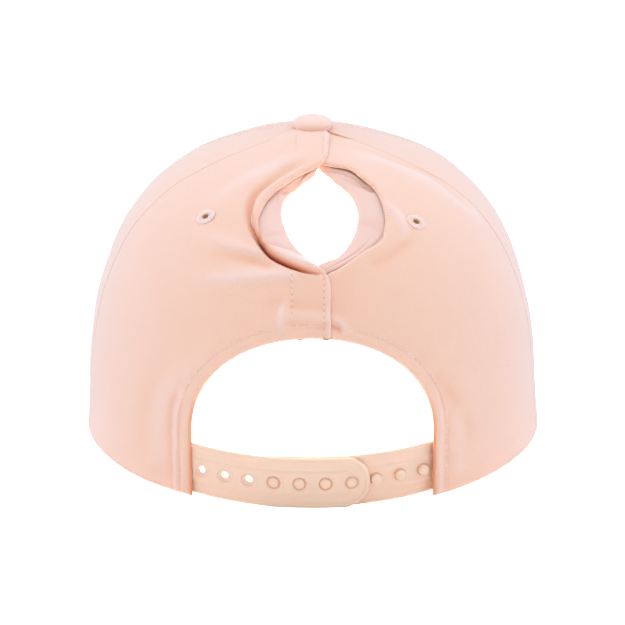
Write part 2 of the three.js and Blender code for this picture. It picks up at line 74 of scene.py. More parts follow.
# The arch over the strap
ARCH_HALF = 47.3
ARCH_RISE = 40.5
ARCH_FOOT = 151.7
ARCH_TOP_SEAM = 98.2
ARCH_FOOT_SEAM = 157.7
ARCH_STEPS = 80
LEG_STEPS = 24
LAP_HALF = 7.3

# Its hem: the stitched line's distance from the edge, the groove there and the gathers beside it
HEM = 4.7
HEM_GROOVE = 0.25
GROOVE_WIDTH = 0.7
GATHER_HEIGHT = 0.2
GATHER_IN = 6.5
GATHER_WIDTH = 3.6
HEM_STIFFNESS = (3, 14)  # from where to where the cloth's own unevenness comes in

# The lap: how far one panel stands above the other, how far out that fades, and the two stretches
# down the back where the opening parts the panels and where they meet again
LAP_PROUD = 0.75
LAP_FADE = (9.5, 18)
PARTED_DOWN = (29, 37)
MET_DOWN = (78, 86)

EDGE_STEP = 0.8

# The back panels' free edges from the button to the arch: outwards from the centre back, down it,
# and how far down the side seam that row of cloth ends
LEFT_EDGE = (
    (-4.9, 6.5, 6.5), (-6.9, 11.0, 11.0), (-6.7, 15.5, 16.0), (-6.4, 20.5, 22.0), (-6.1, 25.2, 27.5),
    (-4.7, 28.8, 31.5), (-2.0, 32.0, 35.2), (4.5, 36.6, 40.3), (8.0, 40.2, 44.0), (11.4, 44.5, 48.5),
    (14.2, 47.9, 52.2), (16.4, 51.4, 56.1), (18.2, 54.8, 59.6), (19.4, 58.2, 63.1), (20.9, 64.2, 68.6),
    (20.5, 68.7, 73.1), (19.3, 72.9, 77.1), (15.0, 74.7, 79.2), (9.4, 76.3, 81.2), (5.9, 77.7, 83.2),
    (2.5, 79.9, 85.2), (-3.0, 83.7, 87.7), (-6.0, 87.2, 89.7), (-6.9, 90.7, 91.7), (-7.0, 100.7, 96.7),
)
RIGHT_EDGE = (
    (-4.9, 6.5, 6.5), (-7.0, 11.0, 11.0), (-7.3, 17.0, 18.0), (-7.3, 22.5, 24.0), (-3.0, 25.7, 28.2),
    (2.0, 27.7, 30.8), (6.9, 30.1, 33.2), (11.0, 32.2, 35.6), (15.0, 35.2, 38.5), (18.9, 40.8, 43.9),
    (21.6, 44.6, 48.0), (23.9, 48.2, 52.2), (26.1, 53.6, 57.6), (27.2, 57.9, 62.1), (28.3, 65.6, 69.6),
    (27.8, 69.9, 74.1), (26.6, 73.9, 78.1), (20.8, 77.0, 81.2), (15.0, 80.9, 84.2), (9.3, 84.2, 87.2),
    (6.3, 85.6, 89.2), (3.0, 90.2, 92.2), (-3.0, 93.7, 95.2), (-7.3, 97.7, 96.6), (-7.3, 104.2, 97.6),
)

# The facings of the opening: outer edge and its depth, inner edge and its depth
LEFT_FACING = (
    (-1.8, 31.3, 2.1, -1.2, 32.7, 3.6), (2.2, 33.9, 2.0, 1.2, 35.0, 4.0), (7.0, 37.8, 1.9, 4.3, 37.7, 4.6),
    (12.6, 43.8, 1.8, 8.5, 42.3, 5.0), (17.8, 50.7, 1.8, 11.4, 48.3, 5.0),
    (20.8, 57.8, 1.8, 12.4, 55.0, 5.0), (21.7, 64.0, 1.8, 11.8, 60.9, 5.0),
    (21.2, 68.6, 1.8, 10.2, 66.2, 5.0), (19.6, 72.8, 1.9, 8.6, 69.8, 4.8),
    (15.2, 76.8, 2.2, 6.4, 73.2, 4.4), (11.0, 78.8, 2.6, 3.8, 76.2, 4.2), (7.0, 82.0, 3.0, 1.6, 79.6, 4.0),
)
RIGHT_FACING = (
    (0.5, 24.5, 2.0, 0.8, 26.4, 4.0), (5.5, 27.3, 2.2, 3.6, 29.4, 4.2), (9.2, 29.6, 2.6, 6.4, 32.6, 4.4),
    (16.0, 34.0, 2.4, 8.9, 36.4, 4.6),
    (20.9, 39.9, 1.9, 12.1, 40.1, 5.0), (25.5, 47.1, 1.8, 15.1, 44.9, 5.0),
    (28.3, 54.0, 1.8, 17.5, 51.1, 5.0), (29.9, 60.6, 1.8, 18.5, 57.1, 5.0),
    (30.3, 66.6, 1.8, 18.1, 63.0, 5.0), (29.2, 72.1, 1.8, 16.2, 68.9, 5.0),
    (26.5, 76.6, 1.9, 13.6, 73.6, 4.6), (20.3, 80.3, 2.0, 10.3, 77.5, 4.2),
    (13.5, 84.3, 2.3, 6.6, 79.0, 4.0), (8.6, 86.7, 2.8, 3.2, 80.4, 3.9), (2.0, 90.0, 3.2, -1.4, 82.4, 4.0),
)
FACING_THICK = 1.0
FACING_STEP = 0.6
FACING_CROWN = 0.6  # how much its middle swells
FACING_TUCK = 2.4  # how far its outer edge reaches in under the panel
LOW_TUCK = 0.2  # the same under the left panel's roll
LOW_TUCK_DOWN = (64, 71)
TUCK_CLEAR = 0.1
TAPE_TURN = 0.9

# The crease beside the opening: outwards, down, depth, and how fast it fades towards the hole and away
LEFT_CREASE = (
    (1.0, 29.1, 0.2, 1.0, 2.4), (9.2, 35.8, 1.3, 1.0, 2.6), (17.6, 46.1, 1.9, 0.9, 2.3),
    (22.2, 52.6, 2.2, 0.9, 1.9), (24.1, 59.1, 2.4, 0.9, 1.7), (24.0, 64.7, 2.7, 0.9, 1.5),
    (22.6, 70.3, 3.2, 0.9, 1.2), (19.7, 76.0, 4.0, 1.1, 0.7), (17.2, 79.0, 4.2, 1.3, 0.6),
    (12.2, 82.0, 4.3, 1.4, 0.6), (4.9, 84.8, 3.7, 1.4, 0.6), (-2.6, 86.4, 1.4, 1.3, 0.8),
)

# How deep the crease gets, how far its painted glow of light reaches, and where the painted shade high up in
# it ends
CREASE_DEEPEST = 4.3
GLOW_REACH = 3.2
HIGH_CREASE_END = (64, 74)

# Tints of painted highlight and painted shade, as shares of the way to the palest or the deepest tone of the
# cloth:
# highlight on ridges; shade in hollows, creases, the tape's dents and along the legs' edges; a painted glow
# of light in the crease
RIDGE_HIGHLIGHT_TINT = 0.4
HOLLOW_SHADE_TINT = 0.15
CREASE_SHADE_TINT = 0.25
CREASE_CORE_SHADE_TINT = 0.65
HIGH_CREASE_SHADE_TINT = 0.06
GLOW_LIGHT_TINT = 0.75
TAPE_SHADE_TINT = 0.12
LEG_EDGE_SHADE_TINT = 0.55
LEG_EDGE_WIDTH = 0.7
LEG_START = (128, 152)

# Soft folds: outwards, down, height (sunk with a minus) and half width, along each line
LEFT_FOLDS = (
    ((5.0, 34.4, 0.3, 1.8), (13.5, 44.0, 0.6, 1.6), (18.6, 51.1, 0.7, 1.5), (21.6, 59.1, 0.7, 1.3),
     (22.3, 64.6, 0.6, 1.1), (21.3, 70.6, 0.5, 1.1)),
    ((16.5, 76.6, 0.6, 1.8), (12.0, 78.6, 1.3, 2.1), (7.0, 80.7, 1.8, 2.3), (2.0, 82.7, 1.6, 2.3),
     (-3.0, 85.0, 0.7, 1.8)),
    ((42.0, 76.0, 0.2, 3.4), (30.0, 77.0, 0.7, 2.8), (21.5, 78.8, 0.6, 1.8)),
    ((36.0, 81.5, -0.4, 2.8), (24.0, 82.1, -1.0, 2.4), (17.3, 84.4, -0.7, 2.0)),
    ((42.0, 93.0, 0.3, 3.6), (32.6, 90.5, 0.9, 3.2), (20.0, 87.8, 1.1, 2.6), (7.4, 87.2, 0.9, 2.0)),
    ((4.9, 25.1, 0.2, 3.0), (12.7, 33.0, 0.6, 4.0), (28.2, 49.0, 0.6, 4.4), (37.0, 60.2, 0.3, 4.4)),
    ((9.3, 102.3, 0.6, 1.3), (4.7, 102.5, 0.6, 1.2), (-5.5, 103.3, 0.6, 1.2)),
    ((16.0, 99.0, -0.3, 2.4), (9.0, 98.6, -0.5, 2.0), (-3.0, 99.6, -0.4, 1.8)),
    ((9.3, 96.5, 0.3, 1.2), (10.8, 99.7, 1.0, 1.3), (11.6, 105.0, 0.9, 1.4), (11.5, 109.0, 0.3, 1.4)),
    ((8.0, 106.0, -0.5, 1.3), (-5.5, 107.0, -0.5, 1.3)),
    ((-5.8, 88.0, 0.4, 0.9), (-5.9, 98.0, 0.45, 0.9), (-5.9, 110.0, 0.4, 0.9)),
    ((-5.6, 10.0, 0.3, 0.9), (-5.4, 18.0, 0.35, 0.9), (-4.9, 26.0, 0.3, 0.9)),
    ((-4.4, 88.0, -0.2, 0.5), (-4.4, 111.0, -0.2, 0.5)),
    ((7.8, 84.5, -0.2, 0.6), (7.8, 104.0, -0.2, 0.6)),
    ((-4.1, 9.0, -0.2, 0.5), (-4.1, 25.0, -0.2, 0.5)),
    ((6.5, 10.0, -0.2, 0.6), (6.5, 25.5, -0.2, 0.6)),
    ((44.0, 124.0, 0.2, 3.4), (56.0, 139.0, 0.35, 4.0), (60.0, 165.0, 0.25, 4.0)),
    ((58.0, 130.0, -0.2, 5.0), (64.0, 144.0, -0.4, 5.0), (66.0, 162.0, -0.3, 5.0)),
    ((46.5, 132.0, 0.1, 1.2), (51.4, 144.0, 0.4, 1.2), (52.7, 156.0, 0.5, 1.1), (52.7, 177.0, 0.4, 1.1)),
    ((50.0, 132.0, -0.2, 1.3), (54.6, 146.0, -0.7, 1.5), (54.8, 162.0, -0.5, 1.4), (54.4, 177.0, -0.3, 1.2)),
    ((49.8, 150.0, 0.2, 0.9), (49.9, 165.0, 0.3, 0.9), (49.9, 177.0, 0.3, 0.9)),
)
RIGHT_FOLDS = (
    ((9.6, 24.0, 0.2, 4.0), (26.5, 36.4, 0.6, 5.0), (39.5, 49.4, 0.7, 5.4), (63.2, 77.6, 0.5, 6.0)),
    ((20.0, 27.0, -0.2, 2.0), (30.5, 37.7, -0.6, 2.2), (46.3, 54.4, -0.7, 2.4), (59.3, 71.9, -0.5, 2.6)),
    ((27.2, 57.8, 0.3, 1.8), (30.7, 62.0, 0.7, 2.2), (34.4, 69.6, 0.8, 2.4), (35.2, 73.9, 0.4, 2.4)),
    ((37.5, 74.0, -0.4, 2.2), (36.0, 77.5, -0.8, 2.4), (32.0, 80.5, -0.8, 2.4), (24.0, 84.0, -0.5, 2.6)),
    ((7.8, 103.3, 0.5, 1.2), (10.4, 105.0, 0.9, 1.3), (13.1, 108.1, 0.6, 1.3)),
    ((7.4, 106.4, -0.7, 1.0), (10.0, 107.8, -0.7, 1.0)),
    ((49.0, 132.7, -0.5, 3.6), (55.0, 143.0, -0.7, 3.8), (60.0, 157.0, -0.4, 4.0)),
    ((57.0, 147.0, 0.3, 3.4), (57.0, 170.0, 0.3, 3.4)),
    ((47.0, 136.0, 0.1, 1.2), (49.0, 148.0, 0.5, 1.2), (49.0, 162.0, 0.6, 1.2), (49.0, 177.0, 0.6, 1.2)),
    ((52.4, 146.0, -0.1, 0.6), (52.4, 152.0, -0.3, 0.6), (52.6, 177.0, -0.3, 0.6)),
)
FACING_FOLDS = {
    1: (((11.8, 45.6, -0.6, 0.5), (6.2, 38.8, -0.9, 0.5), (1.0, 32.0, -0.6, 0.5)),
        ((17.5, 70.0, -0.2, 1.6), (12.0, 67.0, -0.5, 1.8), (11.0, 60.0, -0.2, 1.6))),
    -1: (((7.1, 25.5, -0.8, 0.8), (13.2, 30.2, -1.0, 0.8), (19.1, 38.8, -0.8, 0.9), (22.4, 45.5, -0.3, 0.9)),
         ((5.0, 30.0, -0.6, 0.6), (12.0, 34.2, -0.9, 0.6), (19.0, 41.4, -0.8, 0.6), (23.2, 48.4, -0.3, 0.6)),
         ((13.1, 37.3, -0.5, 1.2), (17.8, 42.0, -0.9, 1.1), (24.2, 48.2, -1.0, 1.0)),
         ((18.0, 62.0, -0.3, 2.0), (24.0, 66.0, -0.6, 2.4), (28.0, 71.0, -0.3, 2.0)),
         ((6.0, 86.0, -0.5, 0.5), (14.5, 82.0, -0.6, 0.5), (22.5, 77.0, -0.5, 0.5), (27.5, 71.5, -0.2, 0.5)),
         ((4.0, 84.6, 0.0, 0.4), (11.0, 80.8, -0.4, 0.4), (18.5, 76.2, -0.4, 0.4), (24.0, 70.5, 0.0, 0.4))),
}

# Turned profiles, as radius and height
BUTTON_FOOT = HEIGHT + TOP_RISE - 0.2
BUTTON_PROFILE = (
    (0, -3.2), (2.6, -3.2), (2.6, -0.8), (6.6, -0.8), (7.5, -0.5), (8.0, 0.2), (8.15, 1.1), (8.0, 1.9),
    (7.4, 2.7), (6.5, 3.3), (5.2, 3.8), (3.7, 4.1), (2.0, 4.3), (0.9, 4.35), (0, 4.35),
)
EYELETS = {1: (41.2, 68.2), -1: (40.0, 69.8)}
EYELET_OVAL = (1.04, 0.84)
EYELET_STITCHES = 44
EYELET_RING = (
    (1.2, -1.6), (2.4, -1.6), (2.4, -0.1), (4.1, -0.1), (3.7, 0.25), (2.9, 0.42), (1.9, 0.38), (1.3, 0.1),
    (1.2, -1.6),
)

VISOR_SPAN = math.radians(62)
VISOR_HALF = 86.0
VISOR_SIDE = 50.0
VISOR_REACH = 167.0
VISOR_ROUND = 0.75
VISOR_SLOPE = 0.27
VISOR_CAMBER = 0.76
VISOR_THICK = 3.0
VISOR_EDGE = 1.2
VISOR_ROOT = 3.0  # how far ahead of the crown its root is raised
VISOR_ROWS = (0.28, 0.4, 0.52, 0.64, 0.76, 0.88, 0.95)

BAND_FROM = math.radians(39.5)
BAND_BOTTOM = 1.0
BAND_TOP = 31.0
BAND_THICK = 1.2
BAND_CLEAR = 1.6
BAND_TURN = 1.0
BAND_RADIUS = 92

STRAP_WIDTH = 20.7
STRAP_THICK = 1.3
STRAP_PITCH = 10.0
STRAP_PEGS = 7
STRAP_FIRST = 15.0
STRAP_TIP = 22.6
STRAP_END = 61.8
STRAP_INSET = 1.7
UNDER_INSET = STRAP_INSET + STRAP_THICK + GAP
STRAP_FOOT = -0.45
STRAP_RISE = 1.1
STRAP_RISE_AT = 50.0
REST_Y = BACK - STRAP_INSET
REST_Z = -0.15
STRAP_CELL = 0.4
STRAP_OPEN = 4  # the first of the holes that no peg fills
STRAP_RELIEF = 0.35
STRAP_EDGE_TURN = 0.45
BEAD_IN = 1.1
BEAD_WIDTH = 0.7
TIP_BEAD = 0.25
BAND_SIDE = (5.4, 6.0)  # from the strap's edge to its raised middle
HOLE_RADIUS = 2.45
HOLE_EVEN = 3.2  # the cells are round a hole up to here
HOLE_SQUARE = 4.9  # and square again from here
HOLE_RELIEF = 0.25
HOLE_RING_WIDTH = 0.45
LIP_RADIUS = 2.8
PEG_RADIUS = 2.1
PEG_SUNK = 0.3

STITCH_PITCH = 2.25
STITCH_SIZE = (0.875, 0.25, 0.2)  # half its length, width and height
STITCH_PROUD = 0.05
PRICK_SIZE = (0.27, 0.25, 0.12)
SEAM_ROW = 2.2

# The lap's rows of stitches, from end to end, and whether the needle's holes show, as painted shade
LAP_ROWS = (
    (((-4.1, 9.6), (-4.1, 25)), False), (((6.5, 10.4), (6.5, 25.3)), False),
    (((-4.4, 88.4), (-4.4, 110)), True), (((7.8, 85), (7.8, 104)), True),
    (((6.9, 106.2), (-3.2, 106.4)), True),
)

# The nap's short fibres catch the light at a glance, paler and cooler than the cloth
NAP = (0.75, 0.88, 1.0, 1)
# A painted highlight for ridges, and two tones of painted shade for creases, hollows and the ribs' grooves
RIDGE_HIGHLIGHT = "#F9DCD2"
SHADED = ("#F2A678", "#B8501C")
HALF_SHADED = 0.45  # the crease's value at the first of these two tones

# The grain of the patterns in millimetres
BLOTCH = 26.3
FIBRE = 0.77
TWIST = 0.385
CLOUD = 16.7
ORANGE_PEEL = 1.11

# The camera and the lights, in metres
CAMERA_LENS = 184.2
CAMERA_PLACE = (0, 1.3138, 0.3288)
CAMERA_TARGET = (0, 0.0422, 0.0585)

SKY_AROUND = (1.22, 1.47, 1.82, 1)
SKY_BEHIND = (0.44, 0.20, 0.0, 1)
SKY_AHEAD = (0.62, 0.72, 0.86, 1)
BEHIND_FROM = (0.2, 0.95)  # where the sky's light changes, along its Y
AHEAD_FROM = (-0.35, -0.9)
KEY_PLACE = (0.1, 0.3, 2.2)
KEY_TARGET = (0, 0, 0.06)
KEY_SIZE = 1.0
KEY_POWER = 6.0
INNER_PLACE = (0, 0.035, 0.05)
INNER_POWER = 1.6


def smoothstep(value, low, high):
    part = np.clip((value - low) / (high - low), 0, 1)
    return part * part * (3 - 2 * part)


def lerp(low, high, part):
    return low + (high - low) * part


def hill(distance, width):
    """A smooth hill of height 1, by the distance from its top."""
    return np.exp(-((distance / width) ** 2))


def plan_radius(angle):
    depth = np.where(np.cos(angle) > 0, BACK, FRONT)
    return 1 / np.hypot(np.sin(angle) / HALF_WIDTH, np.cos(angle) / depth)


def rim_height(angle):
    away = np.arccos(np.clip(np.cos(angle), -1, 1))
    return FRONT_RISE * smoothstep(away, math.radians(100), math.pi)


def crown_at(angle, steep):
    rim = rim_height(angle)
    plan = plan_radius(angle) * np.clip(np.cos(steep), 0, 1) ** (2 / ROUND_PLAN)
    rise = (HEIGHT - rim) * np.clip(np.sin(steep), 0, 1) ** (2 / ROUND_RISE)
    radius = plan + FLARE * np.exp(-rise / FLARE_REACH)
    height = rim + rise + TOP_RISE * hill(plan, TOP_REACH)
    return np.stack([radius * np.sin(angle), radius * np.cos(angle), height], axis=-1)


def run_lengths(points):
    """The length along a polyline at each of its points."""
    return np.concatenate([[0], np.cumsum(np.linalg.norm(np.diff(points, axis=0), axis=1))])


BACK_STEEPS = np.linspace(math.pi / 2, 0, 1001)
BACK_LENGTHS = run_lengths(crown_at(np.zeros(1001), BACK_STEEPS))
RIM_DOWN = BACK_LENGTHS[-1]


def steep_at(down):
    return np.interp(down, BACK_LENGTHS, BACK_STEEPS)


def unit(vectors):
    return vectors / np.maximum(np.linalg.norm(vectors, axis=-1, keepdims=True), 1e-12)


def crown_normal(angle, down):
    turn, step = 0.02, 0.5
    within = np.clip(down, step, RIM_DOWN)
    steep = steep_at(within)
    across = crown_at(angle + turn, steep) - crown_at(angle - turn, steep)
    below = crown_at(angle, steep_at(np.minimum(within + step, RIM_DOWN)))
    return unit(np.cross(across, below - crown_at(angle, steep_at(within - step))))


def on_crown(angle, down, lift=0.0):
    """Points of the crown's outer face, lifted off it along its normal."""
    angle, down = np.broadcast_arrays(np.asarray(angle, float), np.asarray(down, float))
    lift = np.broadcast_to(np.asarray(lift, float), angle.shape)
    face = crown_at(angle, steep_at(np.clip(down, 0.5, RIM_DOWN)))
    return face + lift[..., None] * crown_normal(angle, down)


def radius_at(angle, down):
    point = crown_at(angle, steep_at(down))
    return np.hypot(point[..., 0], point[..., 1])


def angle_of(x, down):
    """The angle at which a point so far down the back lies x from the centre."""
    x, down = np.broadcast_arrays(np.asarray(x, float), np.asarray(down, float))
    angle = np.zeros(x.shape)
    for _ in range(8):
        angle = np.arcsin(np.clip(x / radius_at(angle, down), -0.99, 0.99))
    return angle


def seam_angle(down):
    return np.radians(SIDE_SEAM - SIDE_SEAM_TURN * np.exp(-down / SIDE_SEAM_REACH))


def rest_level(y):
    return REST_Z + (y - REST_Y) * math.tan(TILT)


def to_world(points):
    """From the cap's own frame in millimetres to the scene's in metres."""
    x, y, z = points[..., 0], points[..., 1], points[..., 2]
    cos, sin = math.cos(TILT), math.sin(TILT)
    world = np.stack([x + PLACE[0], y * cos + z * sin + PLACE[1], z * cos - y * sin + PLACE[2]], axis=-1)
    return world / 1000


def smooth_rows(table, step):
    """A table's rows, resampled about every step along a smooth curve through its first two columns."""
    table = np.array(table, float)
    along = run_lengths(table[:, :2])
    slopes = np.gradient(table, along, axis=0)
    rows = []
    for i in range(len(table) - 1):
        length = along[i + 1] - along[i]
        count = max(1, round(length / step))
        last = i == len(table) - 2
        t = np.linspace(0, 1, count + 1)[: count + (1 if last else 0), None]
        rows.append(
            (2 * t**3 - 3 * t**2 + 1) * table[i] + (t**3 - 2 * t**2 + t) * slopes[i] * length
            + (3 * t**2 - 2 * t**3) * table[i + 1] + (t**3 - t**2) * slopes[i + 1] * length
        )
    return np.concatenate(rows)


def near_line(points, line):
    """How far each point is from a polyline, and the line's further columns at its nearest point."""
    nearest = np.full(len(points), np.inf)
    values = np.zeros((len(points), line.shape[1] - 3))
    for start, end in zip(line[:-1], line[1:]):
        way = end[:3] - start[:3]
        part = np.clip((points - start[:3]) @ way / (way @ way), 0, 1)
        away = np.linalg.norm(points - start[:3] - part[:, None] * way, axis=1)
        closer = away < nearest
        nearest = np.where(closer, away, nearest)
        found = start[3:] + part[:, None] * (end[3:] - start[3:])
        values[closer] = found[closer]
    return nearest, values


def drawn_line(side, rows):
    """A table's line on the crown: its points, its flat place and direction, then its further columns."""
    rows = smooth_rows(rows, 2.0) if len(rows) > 2 else np.array(rows, float)
    points = on_crown(angle_of(side * rows[:, 0], rows[:, 1]), rows[:, 1])
    return np.concatenate([points, rows[:, :2], np.gradient(rows[:, :2], axis=0), rows[:, 2:]], axis=1)


def crease_at(base, out, down, line):
    """The depth of a crease with a steep and a soft side, and the glow of light between its two faces."""
    distance, values = near_line(base, line)
    x, line_down, along_x, along_down, depth, inward, outward = values.T
    turned_in = along_x * (down - line_down) - along_down * (out - x) > 0
    glow = turned_in * depth / CREASE_DEEPEST * hill(distance, GLOW_REACH)
    return depth * hill(distance, np.where(turned_in, inward, outward)), glow


FOLD_LINES = {
    1: [drawn_line(1, rows) for rows in LEFT_FOLDS],
    -1: [drawn_line(-1, rows) for rows in RIGHT_FOLDS],
}
CREASE_LINE = drawn_line(1, LEFT_CREASE)


def arch_rows():
    """The free edge over the arch and down its leg."""
    rows = []
    first = math.asin(-LAP_HALF / ARCH_HALF)
    for share in np.linspace(0, 1, ARCH_STEPS + 1):
        turn = lerp(first, math.pi / 2, share)
        seam = lerp(ARCH_TOP_SEAM, ARCH_FOOT_SEAM, share)
        rows.append((ARCH_HALF * math.sin(turn), ARCH_FOOT - ARCH_RISE * math.cos(turn), seam))
    for share in np.linspace(0, 1, LEG_STEPS + 1)[1:]:
        rows.append((ARCH_HALF, lerp(ARCH_FOOT, RIM_DOWN, share), lerp(ARCH_FOOT_SEAM, RIM_DOWN, share)))
    return np.array(rows)


def free_edge(side):
    rows = smooth_rows(LEFT_EDGE if side > 0 else RIGHT_EDGE, EDGE_STEP)
    corner = np.linspace(rows[-1], arch_rows()[0], 8)[1:-1]
    rows = np.concatenate([rows, corner, arch_rows()])
    rows[:, 2] = np.maximum.accumulate(rows[:, 2])
    return rows


EDGE_ROWS = {side: free_edge(side) for side in (1, -1)}
EDGE_LINES = {
    side: on_crown(angle_of(side * rows[:, 0], rows[:, 1]), rows[:, 1]) for side, rows in EDGE_ROWS.items()
}


def arch_line(side):
    """The arch's edge as a polyline with its length so far."""
    rows = arch_rows()
    points = on_crown(angle_of(side * rows[:, 0], rows[:, 1]), rows[:, 1])
    return np.concatenate([points, run_lengths(points)[:, None]], axis=1)


ARCH_LINES = {side: arch_line(side) for side in (1, -1)}


def curl(away, radius):
    """How far a folded edge turns down, within its radius from the edge."""
    part = 1 - np.clip(away / radius, 0, 1)
    return -radius * (1 - np.sqrt(np.clip(1 - part * part, 0, 1)))


def seam_lift(away):
    """The cloth dips into a seam, and swells a little beside it."""
    return sum(height * hill(away - place, width) for height, place, width in SEAM_SHAPE)


def soft_lift(points):
    """The slight unevenness of unstarched cloth: waves of a fifth of a millimetre, one to three cm long."""
    x, y, z = points[..., 0], points[..., 1], points[..., 2]
    lift = 0.16 * np.sin(x / 9 + 1.3 * np.sin(z / 17)) * np.sin(z / 12 + y / 31)
    lift = lift + 0.12 * np.sin(x / 5.1 - z / 6.3 + 2 * np.sin(y / 23))
    return lift + 0.22 * np.sin(x / 21 + z / 26 + 1.1)


def pucker(side, base):
    """The small gathers along the arch's hem, as the stitching draws the cloth in."""
    away, values = near_line(base, ARCH_LINES[side])
    along = values[:, 0]
    wave = np.sin(along / 1.45 + 1.7 * np.sin(along / 11) + 2 * side) + 0.5 * np.sin(along / 3.1 + 1)
    gathers = GATHER_HEIGHT * wave * hill(away - GATHER_IN, GATHER_WIDTH)
    return gathers - HEM_GROOVE * hill(away - HEM, GROOVE_WIDTH)


def back_lift(side, angle, down):
    """How far a back panel's outer face stands off the crown, and the painted shade and highlight in its
    colour there.
    """
    base = on_crown(angle, down)
    out = side * base[:, 0]
    parted = smoothstep(down, *PARTED_DOWN) * (1 - smoothstep(down, *MET_DOWN))
    lift = side * LAP_PROUD * (1 - smoothstep(out, *LAP_FADE)) * (1 - parted)
    away, _ = near_line(base, EDGE_LINES[side])
    turned = curl(away, EDGE_TURN) + curl(RIM_DOWN - down, RIM_TURN)
    lift = lift + np.maximum(turned, -MOST_TURN) + pucker(side, base)
    shade = np.zeros(len(base))
    for line in FOLD_LINES[side]:
        distance, values = near_line(base, line)
        height, width = values.T[4:]
        fold = height * hill(distance, width)
        lift = lift + fold
        # a fold's ridge gets painted highlight, its hollow painted shade
        shade = shade - np.where(height > 0, RIDGE_HIGHLIGHT_TINT, HOLLOW_SHADE_TINT) * fold
    if side > 0:
        crease, glow = crease_at(base, out, down, CREASE_LINE)
        lift = lift - crease
        # painted shade in the crease, deepest at its core and a little more high up, and painted light
        # glowing between its faces
        part = crease / CREASE_DEEPEST
        high = HIGH_CREASE_SHADE_TINT * (1 - smoothstep(down, *HIGH_CREASE_END))
        shade = shade + CREASE_SHADE_TINT * part**1.2 + CREASE_CORE_SHADE_TINT * part**6 + high * part + GLOW_LIGHT_TINT * glow
    to_seam = np.abs(side * angle - seam_angle(down)) * radius_at(angle, down)
    lift = lift + seam_lift(to_seam)
    # painted shade along the legs' edges, where the strap meets them
    shade = shade + LEG_EDGE_SHADE_TINT * hill(away, LEG_EDGE_WIDTH) * smoothstep(down, *LEG_START)
    lift = lift + soft_lift(base) * smoothstep(away, *HEM_STIFFNESS)
    return lift, np.clip(shade, -1, 1)


def plain_lift(angle, down, first, last):
    """The same for a panel between two seams."""
    radius = radius_at(angle, down)
    lift = seam_lift(np.abs(angle - first(down)) * radius) + seam_lift(np.abs(angle - last(down)) * radius)
    lift = lift + curl(RIM_DOWN - down, RIM_TURN) + soft_lift(on_crown(angle, down))
    return lift, np.zeros(len(angle))


def linked(obj):
    bpy.context.scene.collection.objects.link(obj)
    return obj


def finished(name, bm, material, node):
    """A piece from its bmesh, smooth, in its material, that stands for a node."""
    mesh = bpy.data.meshes.new(name)
    bm.to_mesh(mesh)
    bm.free()
    mesh.polygons.foreach_set("use_smooth", [True] * len(mesh.polygons))
    obj = linked(bpy.data.objects.new(name, mesh))
    obj.data.materials.append(material)
    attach(obj, "root")
    if node:
        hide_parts(node)
    return obj


def grid_piece(name, columns, rows, place, material, node, thick, inner=None, rim=None):
    """A sheet of cloth with a wall, its outer face where place(u, v) puts it."""
    bm = bmesh.new()
    bmesh.ops.create_grid(bm, x_segments=columns, y_segments=rows, size=0.5)
    flat = np.array([vert.co[:2] for vert in bm.verts]) + 0.5
    points, weave, crease = place(flat[:, 0], flat[:, 1])
    for vert, point in zip(bm.verts, to_world(points)):
        vert.co = point
    bm.normal_update()
    inside = Vector(to_world(np.array(CROWN_INSIDE)))
    facing_out = sum(face.normal.dot(face.calc_center_median() - inside) for face in bm.faces)
    if facing_out < 0:
        bmesh.ops.reverse_faces(bm, faces=bm.faces)
    obj = finished(name, bm, material, node)
    corners = np.zeros(len(obj.data.loops), dtype=np.int32)
    obj.data.loops.foreach_get("vertex_index", corners)
    layer = obj.data.uv_layers.new(name="weave")
    layer.data.foreach_set("uv", weave[corners].astype(np.float32).ravel())
    # The crease attribute carries painted shade (above 0) and painted highlight (below 0) for the cloth's
    # colour
    painted_light_layer = obj.data.attributes.new("crease", "FLOAT", "POINT")
    painted_light_layer.data.foreach_set("value", crease.astype(np.float32))
    wall = obj.modifiers.new("wall", "SOLIDIFY")
    wall.thickness = thick / 1000
    wall.offset = -1
    wall.use_quality_normals = True
    obj.data.materials.append(inner or material)
    obj.data.materials.append(rim or material)
    wall.material_offset = 1
    wall.material_offset_rim = 2
    return obj


def linear(colour):
    """An sRGB hex colour as linear RGBA."""
    parts = [int(colour[i:i + 2], 16) / 255 for i in (1, 3, 5)]
    return (*(c / 12.92 if c <= 0.04045 else ((c + 0.055) / 1.055) ** 2.4 for c in parts), 1)


def per_metre(size):
    """A pattern's scale on Object coordinates, from its grain in millimetres."""
    return 1000 / size


def diagonal_ribs(apart):
    """The wave texture's scale on a weave map in millimetres, from how far apart its ribs are."""
    return 2 * math.pi / (10 * math.sqrt(2) * apart)


def add_node(tree, kind, inputs, output, **settings):
    """Adds a shader node of a kind with its settings, its inputs set or linked, and gives an output."""
    node = tree.nodes.new(f"ShaderNode{kind}")
    for key, value in settings.items():
        setattr(node, key, value)
    for key, value in dict(inputs).items():
        if isinstance(value, bpy.types.NodeSocket):
            tree.links.new(value, node.inputs[key])
        else:
            node.inputs[key].default_value = value
    return node.outputs[output]


def new_material(name, **inputs):
    """A material with a Principled shader, and the shader's inputs by their names."""
    material = bpy.data.materials.new(name)
    material.use_nodes = True
    tree = material.node_tree
    shader = tree.nodes["Principled BSDF"]
    for key, value in inputs.items():
        shader.inputs[key.replace("_", " ").title().replace("Ior", "IOR")].default_value = value
    return material, tree, shader


